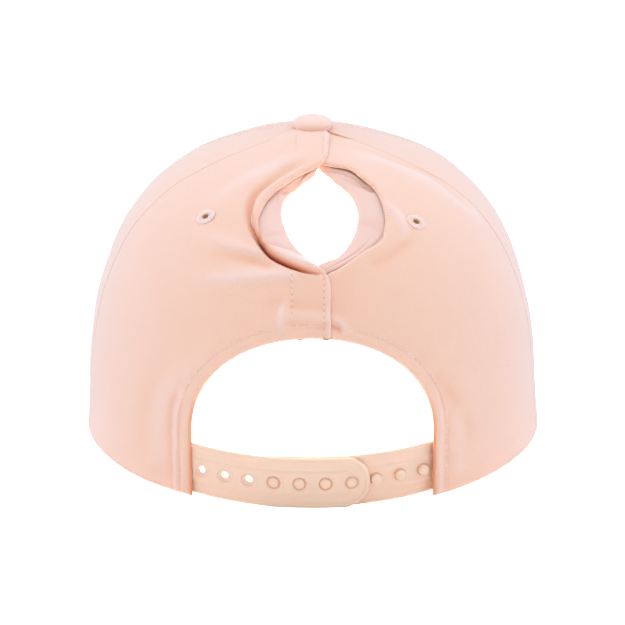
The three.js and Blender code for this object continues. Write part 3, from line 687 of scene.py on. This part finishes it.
def cotton(name, light, ribs_apart, rib_strength, groove_shade=0.3):
    """Matt brushed cotton: fine ribs and fibres, mottled a little, with painted shade in the ribs' grooves
    and in the creases and a painted highlight on the ridges.
    """
    material, tree, shader = new_material(
        name, roughness=0.92, specular_ior_level=0.12,
        sheen_weight=0.45, sheen_roughness=0.55, sheen_tint=NAP,
    )
    weave = add_node(tree, "UVMap", (), "UV", uv_map="weave")
    place = add_node(tree, "TexCoord", (), "Object")
    crease = add_node(tree, "Attribute", (), "Fac", attribute_name="crease")
    blotch = add_node(tree, "TexNoise", {"Vector": place, "Scale": per_metre(BLOTCH), "Detail": 3.0}, "Fac")
    fibre = add_node(
        tree, "TexNoise", {"Vector": weave, "Scale": 1 / FIBRE, "Detail": 4.0, "Roughness": 0.7}, "Fac"
    )
    rib = add_node(
        tree, "TexWave",
        {"Vector": weave, "Scale": diagonal_ribs(ribs_apart), "Distortion": 0.6, "Detail": 1.0},
        "Fac", bands_direction="DIAGONAL",
    )
    tone = linear(light[0])
    # Over the mottled tone: painted shade in the ribs' grooves, a painted highlight on ridges, then painted
    # shade in the creases in two steps
    for value, limits, colour in (
        (blotch, {}, light[1]),
        (rib, {"To Max": groove_shade}, SHADED[0]),
        (crease, {"From Max": -0.6, "To Max": 0.8}, RIDGE_HIGHLIGHT),
        (crease, {"From Max": HALF_SHADED}, SHADED[0]),
        (crease, {"From Min": HALF_SHADED}, SHADED[1]),
    ):
        share = add_node(tree, "MapRange", {"Value": value, **limits}, "Result")
        both = {"Factor": share, "A": tone, "B": linear(colour)}
        tone = add_node(tree, "Mix", both, "Result", data_type="RGBA")
    tree.links.new(tone, shader.inputs["Base Color"])
    normal = add_node(tree, "Bump", {"Strength": rib_strength, "Distance": 0.0002, "Height": rib}, "Normal")
    normal = add_node(
        tree, "Bump", {"Strength": 0.25, "Distance": 0.00015, "Height": fibre, "Normal": normal}, "Normal"
    )
    tree.links.new(normal, shader.inputs["Normal"])
    return material


def thread_material():
    """Polyester embroidery thread: a soft sheen over fine twisted fibres."""
    material, tree, shader = new_material("embroidery thread", roughness=0.55, sheen_weight=0.3)
    shader.inputs["Base Color"].default_value = linear("#F7D8C7")
    place = add_node(tree, "TexCoord", (), "Object")
    fibre = add_node(tree, "TexNoise", {"Vector": place, "Scale": per_metre(TWIST), "Detail": 2.0}, "Fac")
    normal = add_node(tree, "Bump", {"Strength": 0.3, "Distance": 0.0001, "Height": fibre}, "Normal")
    tree.links.new(normal, shader.inputs["Normal"])
    return material


def plastic_material():
    """Moulded polyethylene: satin and slightly translucent, with the mould's faint orange peel."""
    material, tree, shader = new_material(
        "moulded polyethylene", roughness=0.38, ior=1.51, subsurface_weight=0.08,
        subsurface_radius=(1.0, 0.75, 0.6), subsurface_scale=0.0015,
    )
    place = add_node(tree, "TexCoord", (), "Object")
    cloud = add_node(tree, "TexNoise", {"Vector": place, "Scale": per_metre(CLOUD), "Detail": 2.0}, "Fac")
    both = {"Factor": cloud, "A": linear("#F6D9BF"), "B": linear("#F4D3B5")}
    tone = add_node(tree, "Mix", both, "Result", data_type="RGBA")
    tree.links.new(tone, shader.inputs["Base Color"])
    peel = add_node(
        tree, "TexNoise", {"Vector": place, "Scale": per_metre(ORANGE_PEEL), "Detail": 1.0}, "Fac"
    )
    normal = add_node(tree, "Bump", {"Strength": 0.12, "Distance": 0.00008, "Height": peel}, "Normal")
    tree.links.new(normal, shader.inputs["Normal"])
    return material


def flat_material(name, colour, roughness):
    """A plain dull colour, for the shade inside a small hole or a thin ring of light."""
    material, _, shader = new_material(name, roughness=roughness)
    shader.inputs["Base Color"].default_value = linear(colour)
    return material


# Ribs of twill are 0.5 mm apart; here they are wider, so that they show at the picture's size
TWILL = cotton("cotton twill", ("#FAD4BB", "#F8CEB3"), 0.808, 0.25, 0.36)
TAPE = cotton("woven facing tape", ("#F8D6C5", "#F6CDBA"), 0.555, 0.35, 0.15)
FOLDED = cotton("cotton twill, in the shade of its folded edge", ("#8C5C44", "#86563C"), 0.808, 0.2)
COVER = cotton("cotton twill, drawn tight over the button", ("#F9D4BF", "#F7CFB8"), 0.404, 0.1, 0.12)
LINING = cotton("plain cotton sweatband", ("#FBF1EC", "#F8EAE4"), 0.555, 0.2)
BACKING = cotton("white fused backing", ("#FDF8F5", "#FAF2EE"), 0.555, 0.15)
THREAD = thread_material()
PLASTIC = plastic_material()
NEEDLE_HOLE_SHADE = flat_material("painted shade in a needle hole", "#D9A27C", 0.9)
EYELET_HOLE = flat_material("shade in the eyelet", "#96602F", 0.9)
PEG_RING = flat_material("polyethylene lit through, round a peg", "#F0B083", 0.5)


def back_panel(side, name):
    rows = EDGE_ROWS[side]
    count = len(rows) - 1

    def place(u, v):
        index = (1 - v) * count
        out, down_at_edge, down_at_seam = (
            np.interp(index, np.arange(count + 1), rows[:, i]) for i in range(3)
        )
        part = (u if side < 0 else 1 - u) ** 1.3  # the cells are finer towards the free edge
        angle = lerp(angle_of(side * out, down_at_edge), side * seam_angle(down_at_seam), part)
        down = lerp(down_at_edge, down_at_seam, part)
        lift, crease = back_lift(side, angle, down)
        weave = np.stack([angle * radius_at(angle, down), down], axis=1)
        return on_crown(angle, down, lift), weave, crease

    return grid_piece(f"{name}_cloth", 120, count, place, TWILL, name, CLOTH, rim=FOLDED)


def front_seam(down):
    return np.full_like(down, FRONT_SEAM)


def far_front_seam(down):
    """The right front seam, counted on from the left one round the front."""
    return 2 * math.pi - front_seam(down)


def mirrored(seam):
    return lambda down: -seam(down)


def plain_panel(name, columns, first, last, inner=None):
    """A panel between two seams, from the button to the rim."""
    def place(u, v):
        down = lerp(CENTRE_HOLE, RIM_DOWN, 1 - v)
        angle = lerp(first(down), last(down), u)
        lift, crease = plain_lift(angle, down, first, last)
        weave = np.stack([angle * WEAVE_RADIUS, down], axis=1)
        return on_crown(angle, down, lift), weave, crease

    return grid_piece(f"{name}_cloth", columns, 150, place, TWILL, name, CLOTH, inner)


def facing(side, name, table):
    rows = smooth_rows([(r[0], r[1], r[3], r[4], r[2], r[5]) for r in table], FACING_STEP)
    count = len(rows) - 1
    lines = [drawn_line(side, line) for line in FACING_FOLDS[side]]

    def place(u, v):
        index = (1 - v) * count
        outer_x, outer_down, inner_x, inner_down, out, inner = (
            np.interp(index, np.arange(count + 1), rows[:, i]) for i in range(6)
        )
        wide = np.hypot(outer_x - inner_x, outer_down - inner_down)
        low = smoothstep(outer_down, *LOW_TUCK_DOWN) if side > 0 else 0
        tuck = lerp(FACING_TUCK, LOW_TUCK, low)
        reach = (u if side < 0 else 1 - u) * (1 + tuck / wide)
        across = np.minimum(reach, 1)
        down = lerp(inner_down, outer_down, reach)
        x = lerp(inner_x, outer_x, reach)
        angle = angle_of(side * x, down)
        tucked = np.clip((reach - across) * wide / FACING_TUCK, 0, 1)
        depth = lerp(inner, out, across) + (CLOTH + TUCK_CLEAR - out) * tucked
        lift = -depth + FACING_CROWN * np.sin(math.pi * across) + curl(across * wide, TAPE_TURN)
        base = on_crown(angle, down)
        shade = np.zeros(len(base))
        for line in lines:
            distance, values = near_line(base, line)
            height, width = values.T[4:]
            dent = height * hill(distance, width)
            lift = lift + dent
            # painted shade in the tape's dents
            shade = shade - TAPE_SHADE_TINT * dent
        weave = np.stack([x, down], axis=1)
        return on_crown(angle, down, lift), weave, np.clip(shade, 0, 1)

    return grid_piece(f"{name}_tape", 36, count, place, TAPE, name, FACING_THICK)


def visor_point(side, ahead):
    """A point of the visor's upper face, side from -1 to 1 and ahead from 0 at the crown to 1."""
    angle = math.pi + side * VISOR_SPAN
    root = on_crown(angle, np.full_like(angle, RIM_DOWN), -CLOTH / 2)
    turn = side * math.pi / 2
    tip_x = -VISOR_HALF * np.sin(turn)
    tip_y = -lerp(VISOR_SIDE, VISOR_REACH, np.clip(np.cos(turn), 0, 1) ** VISOR_ROUND)
    forward = ahead * np.hypot(tip_x - root[:, 0], tip_y - root[:, 1])
    fall = forward * (VISOR_SLOPE + VISOR_CAMBER * side * side)
    top = rim_height(angle) - GAP + np.exp(-forward / VISOR_ROOT) - fall
    y = lerp(root[:, 1], tip_y, ahead)
    z = np.maximum(top, rest_level(y) + VISOR_THICK)
    return np.stack([lerp(root[:, 0], tip_x, ahead), y, z], axis=1)


def visor():
    def place(u, v):
        points = visor_point(1 - 2 * u, 1 - v)
        return points, points[:, :2].copy(), np.zeros(len(points))

    obj = grid_piece("visor_cloth", 150, 70, place, TWILL, "visor", VISOR_THICK)
    edge = obj.modifiers.new("edge", "BEVEL")
    edge.width = VISOR_EDGE / 1000
    edge.segments = 3
    edge.limit_method = "ANGLE"


def sweatband():
    def place(u, v):
        angle = lerp(2 * math.pi - BAND_FROM, BAND_FROM, u)
        share = lerp(BAND_BOTTOM, BAND_TOP, v)
        gathers = 0.15 * np.sin(angle * 60) * smoothstep(share, 12, 30)
        lift = gathers - (CLOTH + BAND_CLEAR) + curl(share - BAND_BOTTOM, BAND_TURN)
        weave = np.stack([angle * BAND_RADIUS, share], axis=1)
        return on_crown(angle, RIM_DOWN - share, lift), weave, np.zeros(len(angle))

    return grid_piece("sweatband_cloth", 240, 24, place, LINING, "sweatband", BAND_THICK)


def turned_piece(bm, profile, steps, matrix):
    """A profile of radius and height spun about Z, then set in place."""
    before = set(bm.verts)
    verts = [bm.verts.new((radius, 0, up)) for radius, up in profile]
    edges = [bm.edges.new(pair) for pair in zip(verts[:-1], verts[1:])]
    bmesh.ops.spin(
        bm, geom=verts + edges, cent=(0, 0, 0), axis=(0, 0, 1), angle=2 * math.pi, steps=steps, use_merge=True
    )
    made = [vert for vert in bm.verts if vert not in before]
    bmesh.ops.remove_doubles(bm, verts=made, dist=1e-6)
    made = [vert for vert in bm.verts if vert not in before]
    bmesh.ops.transform(bm, matrix=matrix, verts=made)
    bmesh.ops.recalc_face_normals(bm, faces=list({face for vert in made for face in vert.link_faces}))


def set_at(foot, normal, along=None):
    """The matrix that sets a shape made about Z in millimetres on a point of the cap, in metres."""
    tilt = Matrix.Rotation(-TILT, 4, "X")
    z = Vector(normal).normalized()
    x = Vector(along) if along is not None else z.orthogonal()
    x = (x - z * x.dot(z)).normalized()
    turn = Matrix((x, z.cross(x), z)).transposed().to_4x4()
    place = Matrix.Translation(Vector(PLACE)) @ tilt @ Matrix.Translation(Vector(foot)) @ turn
    return Matrix.Scale(0.001, 4) @ place


def button():
    bm = bmesh.new()
    turned_piece(bm, BUTTON_PROFILE, 48, set_at((0, 0, BUTTON_FOOT), (0, 0, 1), (1, 0, 0)))
    obj = finished("button_cloth", bm, COVER, "button")
    layer = obj.data.uv_layers.new(name="weave")
    for loop in obj.data.loops:
        co = obj.data.vertices[loop.vertex_index].co
        layer.data[loop.index].uv = (co.x * 1000, co.y * 1000)


def eyelet(side, name):
    """A ring of radial satin stitches round a punched hole."""
    x, down = EYELETS[side]
    down = np.array([down])
    angle = angle_of(side * x, down)
    foot = on_crown(angle, down, back_lift(side, angle, down)[0])[0]
    normal = crown_normal(angle, down)[0]
    place = set_at(foot, normal, (1, 0, 0)) @ Matrix.Diagonal((*EYELET_OVAL, 1, 1))
    bm = bmesh.new()
    turned_piece(bm, EYELET_RING, 40, place)
    for i in range(EYELET_STITCHES):
        turn = Matrix.Rotation(2 * math.pi * i / EYELET_STITCHES, 4, "Z")
        long = 1.3 + 0.22 * math.sin(i * 2.7) + 0.1 * math.sin(i * 1.3)  # a little uneven
        leaning = Matrix.Translation((1.3 + long, 0, 0.22)) @ Matrix.Rotation(0.1, 4, "Y")
        stitch = place @ turn @ leaning @ Matrix.Diagonal((long, 0.24, 0.3, 1))
        bmesh.ops.create_uvsphere(bm, u_segments=8, v_segments=6, radius=1, matrix=stitch)
    shade = bmesh.ops.create_circle(
        bm, cap_ends=True, segments=20, radius=1.1, matrix=place @ Matrix.Translation((0, 0, 0.12))
    )
    for face in {face for vert in shade["verts"] for face in vert.link_faces}:
        face.material_index = 1
    obj = finished(f"{name}_thread", bm, THREAD, name)
    obj.data.materials.append(EYELET_HOLE)


STRAP_TURNS = np.linspace(0, math.pi / 2, 401)
STRAP_RADII = plan_radius(STRAP_TURNS) - STRAP_INSET
STRAP_LENGTHS = run_lengths(
    np.stack([STRAP_RADII * np.sin(STRAP_TURNS), STRAP_RADII * np.cos(STRAP_TURNS)], axis=1)
)


def strap_point(along, up, inset):
    size = np.abs(along)
    angle = np.sign(along) * np.interp(size, STRAP_LENGTHS, STRAP_TURNS)
    radius = plan_radius(angle) - inset
    y = radius * np.cos(angle)
    foot = STRAP_FOOT + STRAP_RISE * (size / STRAP_RISE_AT) ** 2
    return np.stack([radius * np.sin(angle), y, np.maximum(foot + up, rest_level(y))], axis=-1)


def peg_place(i):
    """How far along the strap from its middle a peg or a hole is, before the tip's end."""
    return i * STRAP_PITCH - STRAP_FIRST


def strap_relief(s, up, holed):
    """The moulding on a strap's outer face: a bead along its edges and a raised band along its middle."""
    half = STRAP_WIDTH / 2
    tip = STRAP_TIP - half
    off = up - half
    edge = np.where(s < -tip, half - np.hypot(s + tip, off), half - np.abs(off))
    bead_height = STRAP_RELIEF + TIP_BEAD * smoothstep(-s, 6, 14)
    relief = bead_height * hill(edge - BEAD_IN, BEAD_WIDTH) + STRAP_RELIEF * smoothstep(edge, *BAND_SIDE)
    relief = relief + curl(edge, STRAP_EDGE_TURN)
    if holed:
        for i in range(STRAP_PEGS):
            away = np.hypot(s - peg_place(i), off)
            relief = relief + HOLE_RELIEF * hill(away - HOLE_EVEN, HOLE_RING_WIDTH)
            relief = relief - HOLE_RELIEF * (1 - smoothstep(away, HOLE_RADIUS, LIP_RADIUS))
    return relief


def strap(side, name, inset, holed):
    """Half of the snap strap, a grid of cells that are drawn round its tip and its holes."""
    half = STRAP_WIDTH / 2
    tip = STRAP_TIP - half
    columns = round((STRAP_END + STRAP_TIP) / STRAP_CELL)
    rows = round(STRAP_WIDTH / STRAP_CELL)
    bm = bmesh.new()
    bmesh.ops.create_grid(bm, x_segments=columns, y_segments=rows, size=0.5)
    flat = np.array([vert.co[:2] for vert in bm.verts]) + 0.5
    s = lerp(-STRAP_TIP, STRAP_END, flat[:, 0])
    off = (flat[:, 1] - 0.5) * STRAP_WIDTH
    inside = np.zeros(len(s), bool)
    if holed:
        for i in range(STRAP_PEGS):
            ds = s - peg_place(i)
            square = np.maximum(np.abs(ds), np.abs(off))
            inside |= square < HOLE_RADIUS - STRAP_CELL * 0.4
            round_it = np.maximum(np.hypot(ds, off), 1e-9)
            weight = 1 - smoothstep(square, HOLE_EVEN, HOLE_SQUARE)
            scale = np.where(square < HOLE_SQUARE, lerp(1, square / round_it, weight), 1)
            s = peg_place(i) + ds * scale
            off = off * scale
    ahead = np.clip((-tip - s) / half, 0, 1)
    aside = off / half
    s = np.where(s < -tip, -tip - half * ahead * np.sqrt(1 - aside**2 / 2), s)
    up = half + half * aside * np.sqrt(1 - ahead**2 / 2)
    points = strap_point(side * s, up, inset - strap_relief(s, up, holed))
    for vert, point in zip(bm.verts, to_world(points)):
        vert.co = point
    bm.verts.index_update()
    cut = [face for face in bm.faces if any(inside[vert.index] for vert in face.verts)]
    bmesh.ops.delete(bm, geom=cut, context="FACES")
    bm.normal_update()
    if sum(face.normal.y for face in bm.faces) < 0:
        bmesh.ops.reverse_faces(bm, faces=bm.faces)
    obj = finished(f"{name}_moulding", bm, PLASTIC, name)
    wall = obj.modifiers.new("wall", "SOLIDIFY")
    wall.thickness = STRAP_THICK / 1000
    wall.offset = -1


def on_strap(along, inset):
    """The matrix that stands a turned shape on the strap's middle line."""
    foot = strap_point(along, STRAP_WIDTH / 2, inset)
    return set_at(foot, foot - strap_point(along, STRAP_WIDTH / 2, inset + 1), (0, 0, 1))


def hole_lips(side, name, inset):
    """The funnelled lips of the holes that no peg fills."""
    bm = bmesh.new()
    lip = (
        (2.9, -0.1), (LIP_RADIUS, 0.12), (2.2, 0.1), (1.5, -0.35), (1.3, -0.7), (1.3, -STRAP_THICK),
        (2.9, -STRAP_THICK), (2.9, -0.1),
    )
    for i in range(STRAP_OPEN, STRAP_PEGS):
        turned_piece(bm, lip, 32, on_strap(side * peg_place(i), inset))
    finished(name, bm, PLASTIC, None)


def pegs(side, name, inset):
    """The domed pegs that stand on the strap and press through the other strap's holes."""
    bm = bmesh.new()
    wide, ring_in = PEG_RADIUS, PEG_RADIUS - 0.3
    head = (
        (0, 0), (wide, 0), (wide, 1.9), (wide - 0.05, 2.2), (wide - 0.4, 2.6),
        (wide - 1.0, 2.85), (wide - 1.5, 2.95), (0, 3.0),
    )
    collar = (
        (ring_in, 2.05), (wide + 0.55, 2.05), (wide + 0.55, 1.7), (ring_in, 1.7), (ring_in, 2.05),
    )
    foot_ring = ((ring_in, 0.95), (wide + 0.35, 0.72), (wide + 0.35, 0.3), (ring_in, 0.95))
    for i in range(STRAP_PEGS):
        place = on_strap(side * peg_place(i), inset + PEG_SUNK)
        turned_piece(bm, head, 28, place)
        before = set(bm.faces)
        turned_piece(bm, collar if i < STRAP_OPEN else foot_ring, 28, place)
        for face in bm.faces:
            if face not in before:
                face.material_index = 1
    obj = finished(name, bm, PLASTIC, None)
    obj.data.materials.append(PEG_RING)


def bead(material_index):
    """A small ball of radius 1, to be stretched into a stitch or into the painted shade of the needle's hole
    beside it.
    """
    bm = bmesh.new()
    bmesh.ops.create_uvsphere(bm, u_segments=6, v_segments=4, radius=1)
    for face in bm.faces:
        face.material_index = material_index
    mesh = bpy.data.meshes.new("bead")
    bm.to_mesh(mesh)
    bm.free()
    return mesh


# A stitch in thread, and a needle's hole as a bead painted in its shade
STITCH = bead(0)
PRICK = bead(1)


def stitches(name, rows):
    """Rows of stitches, and of beads painted as the shade in the needle's holes between them where a row
    shows them.

    Each row is its points on the cap, their normals, and whether its holes show.
    """
    bm = bmesh.new()

    def read_at(where, lengths, values):
        return np.array([np.interp(where, lengths, values[:, k]) for k in range(3)])

    def laid(row, lengths, where, size, shape):
        start, middle, end = (read_at(where + off, lengths, row[0]) for off in (-0.5, 0, 0.5))
        place = set_at(middle, read_at(where, lengths, row[1]), end - start)
        copy = shape.copy()
        copy.transform(place @ Matrix.Diagonal((*size, 1)))
        bm.from_mesh(copy)
        bpy.data.meshes.remove(copy)

    for row in rows:
        lengths = run_lengths(row[0])
        count = int(lengths[-1] / STITCH_PITCH)
        pitch = lengths[-1] / count
        for i in range(count):
            laid(row, lengths, (i + 0.5) * pitch, STITCH_SIZE, STITCH)
            if row[2]:
                laid(row, lengths, i * pitch, PRICK_SIZE, PRICK)
    obj = finished(name, bm, THREAD, None)
    obj.data.materials.append(NEEDLE_HOLE_SHADE)


def crown_row(angle, down, lift, pricked):
    return on_crown(angle, down, lift + STITCH_PROUD), crown_normal(angle, down), pricked


def back_row(side, path, pricked):
    """A row of stitches on a back panel, along a path of outwards and down."""
    rows = smooth_rows(path, 1.0) if len(path) > 2 else np.linspace(path[0], path[1], 40)
    angle = angle_of(side * rows[:, 0], rows[:, 1])
    return crown_row(angle, rows[:, 1], back_lift(side, angle, rows[:, 1])[0], pricked)


def hem_path():
    """The stitched line along the arch's hem and down its leg."""
    half, rise = ARCH_HALF + HEM, ARCH_RISE + HEM
    first = math.asin(-4 / half)
    over = [(half * math.sin(t), ARCH_FOOT - rise * math.cos(t)) for t in np.linspace(first, math.pi / 2, 60)]
    return np.array(over + [(half, down) for down in np.linspace(ARCH_FOOT + 1, RIM_DOWN - 3, 20)])


def sew_back(side, name):
    rows = [back_row(side, hem_path(), False)]
    if side > 0:
        rows += [back_row(side, path, pricked) for path, pricked in LAP_ROWS]
    stitches(f"stitches_back_{name}", rows)


def sew_front(side, name):
    """The two rows beside a front seam."""
    down = np.linspace(10, RIM_DOWN - 3, 160)
    rows = []
    for off in (-SEAM_ROW, SEAM_ROW):
        angle = side * (FRONT_SEAM + off / radius_at(front_seam(down), down))
        rows.append(crown_row(angle, down, soft_lift(on_crown(angle, down)), False))
    stitches(f"stitches_front_{name}", rows)


def visor_row(ahead):
    """A row of stitches that quilts the visor, at one share of the way to its edge."""
    side = np.linspace(-0.96, 0.96, 160)
    points = visor_point(side, np.full_like(side, ahead))
    inner = visor_point(side, np.full_like(side, ahead - 0.02))
    normals = unit(np.cross(points - inner, np.gradient(points, axis=0)))
    normals = normals * np.sign(normals[:, 2:])
    return points + STITCH_PROUD * normals, normals, False


left_back = back_panel(1, "back_panel_left")
right_back = back_panel(-1, "back_panel_right")
left_side = plain_panel("side_panel_left", 60, seam_angle, front_seam)
right_side = plain_panel("side_panel_right", 60, mirrored(front_seam), mirrored(seam_angle))
front = plain_panel("front_panel", 150, front_seam, far_front_seam, BACKING)
left_tape = facing(1, "facing_left", LEFT_FACING)
right_tape = facing(-1, "facing_right", RIGHT_FACING)
visor()
band = sweatband()
button()
eyelet(1, "eyelet_left")
eyelet(-1, "eyelet_right")
strap(1, "strap_left", STRAP_INSET, True)
strap(-1, "strap_right", UNDER_INSET, False)
hole_lips(1, "strap_left_holes", STRAP_INSET)
pegs(-1, "strap_right_pegs", UNDER_INSET)
for side, name in ((1, "left"), (-1, "right")):
    sew_back(side, name)
    sew_front(side, name)
stitches("stitches_visor", [visor_row(ahead) for ahead in VISOR_ROWS])


def aimed(obj, place, target):
    """Sets a camera or a lamp in its place and turns it to its target."""
    obj.location = place
    obj.rotation_euler = (Vector(target) - Vector(place)).to_track_quat("-Z", "Y").to_euler()


def camera():
    data = bpy.data.cameras.new("camera")
    data.lens = CAMERA_LENS
    data.sensor_width = 36
    data.clip_start = 0.05
    data.clip_end = 20
    obj = linked(bpy.data.objects.new("camera", data))
    aimed(obj, CAMERA_PLACE, CAMERA_TARGET)
    bpy.context.scene.camera = obj


def key_light():
    data = bpy.data.lights.new("key", "AREA")
    data.shape = "DISK"
    data.size = KEY_SIZE
    data.energy = KEY_POWER
    aimed(linked(bpy.data.objects.new("key", data)), KEY_PLACE, KEY_TARGET)


def inner_light(lit):
    """A hidden lamp in the crown: the photo's openings are as white as its background."""
    data = bpy.data.lights.new("inside", "POINT")
    data.shadow_soft_size = 0.02
    data.energy = INNER_POWER
    obj = linked(bpy.data.objects.new("inside", data))
    obj.location = INNER_PLACE
    obj.visible_camera = False
    receivers = bpy.data.collections.new("lit inside")
    for piece in lit:
        receivers.objects.link(piece)
    obj.light_linking.receiver_collection = receivers


def sky():
    """White to the camera; as a light, cooler and stronger from above and the sides than from the ends."""
    world = bpy.data.worlds.new("studio")
    bpy.context.scene.world = world
    world.use_nodes = True
    tree = world.node_tree
    way = add_node(tree, "TexCoord", (), "Generated")
    along = add_node(tree, "SeparateXYZ", {"Vector": way}, "Y")
    seen = add_node(tree, "LightPath", (), "Is Camera Ray")
    light = SKY_AROUND
    white = (1, 1, 1, 1)
    for value, ends, colour in (
        (along, BEHIND_FROM, SKY_BEHIND), (along, AHEAD_FROM, SKY_AHEAD), (seen, (0, 1), white),
    ):
        limits = {"Value": value, "From Min": ends[0], "From Max": ends[1]}
        share = add_node(tree, "MapRange", limits, "Result")
        both = {"Factor": share, "A": light, "B": colour}
        light = add_node(tree, "Mix", both, "Result", data_type="RGBA")
    tree.links.new(light, tree.nodes["Background"].inputs["Color"])


def light_table():
    """The floor: a white table that glows to the camera, and only reflects light onto the cap."""
    bm = bmesh.new()
    bmesh.ops.create_grid(bm, x_segments=2, y_segments=2, size=3)
    mesh = bpy.data.meshes.new("floor")
    bm.to_mesh(mesh)
    bm.free()
    floor = linked(bpy.data.objects.new("floor", mesh))
    material, tree, shader = new_material("light table", roughness=0.9)
    shader.inputs["Base Color"].default_value = linear("#FAFAFA")
    shader.inputs["Emission Color"].default_value = (1, 1, 1, 1)
    seen = add_node(tree, "LightPath", (), "Is Camera Ray")
    tree.links.new(seen, shader.inputs["Emission Strength"])
    mesh.materials.append(material)


bpy.context.scene.view_settings.view_transform = "Standard"
camera()
sky()
key_light()
inner_light([front, band])
light_table()
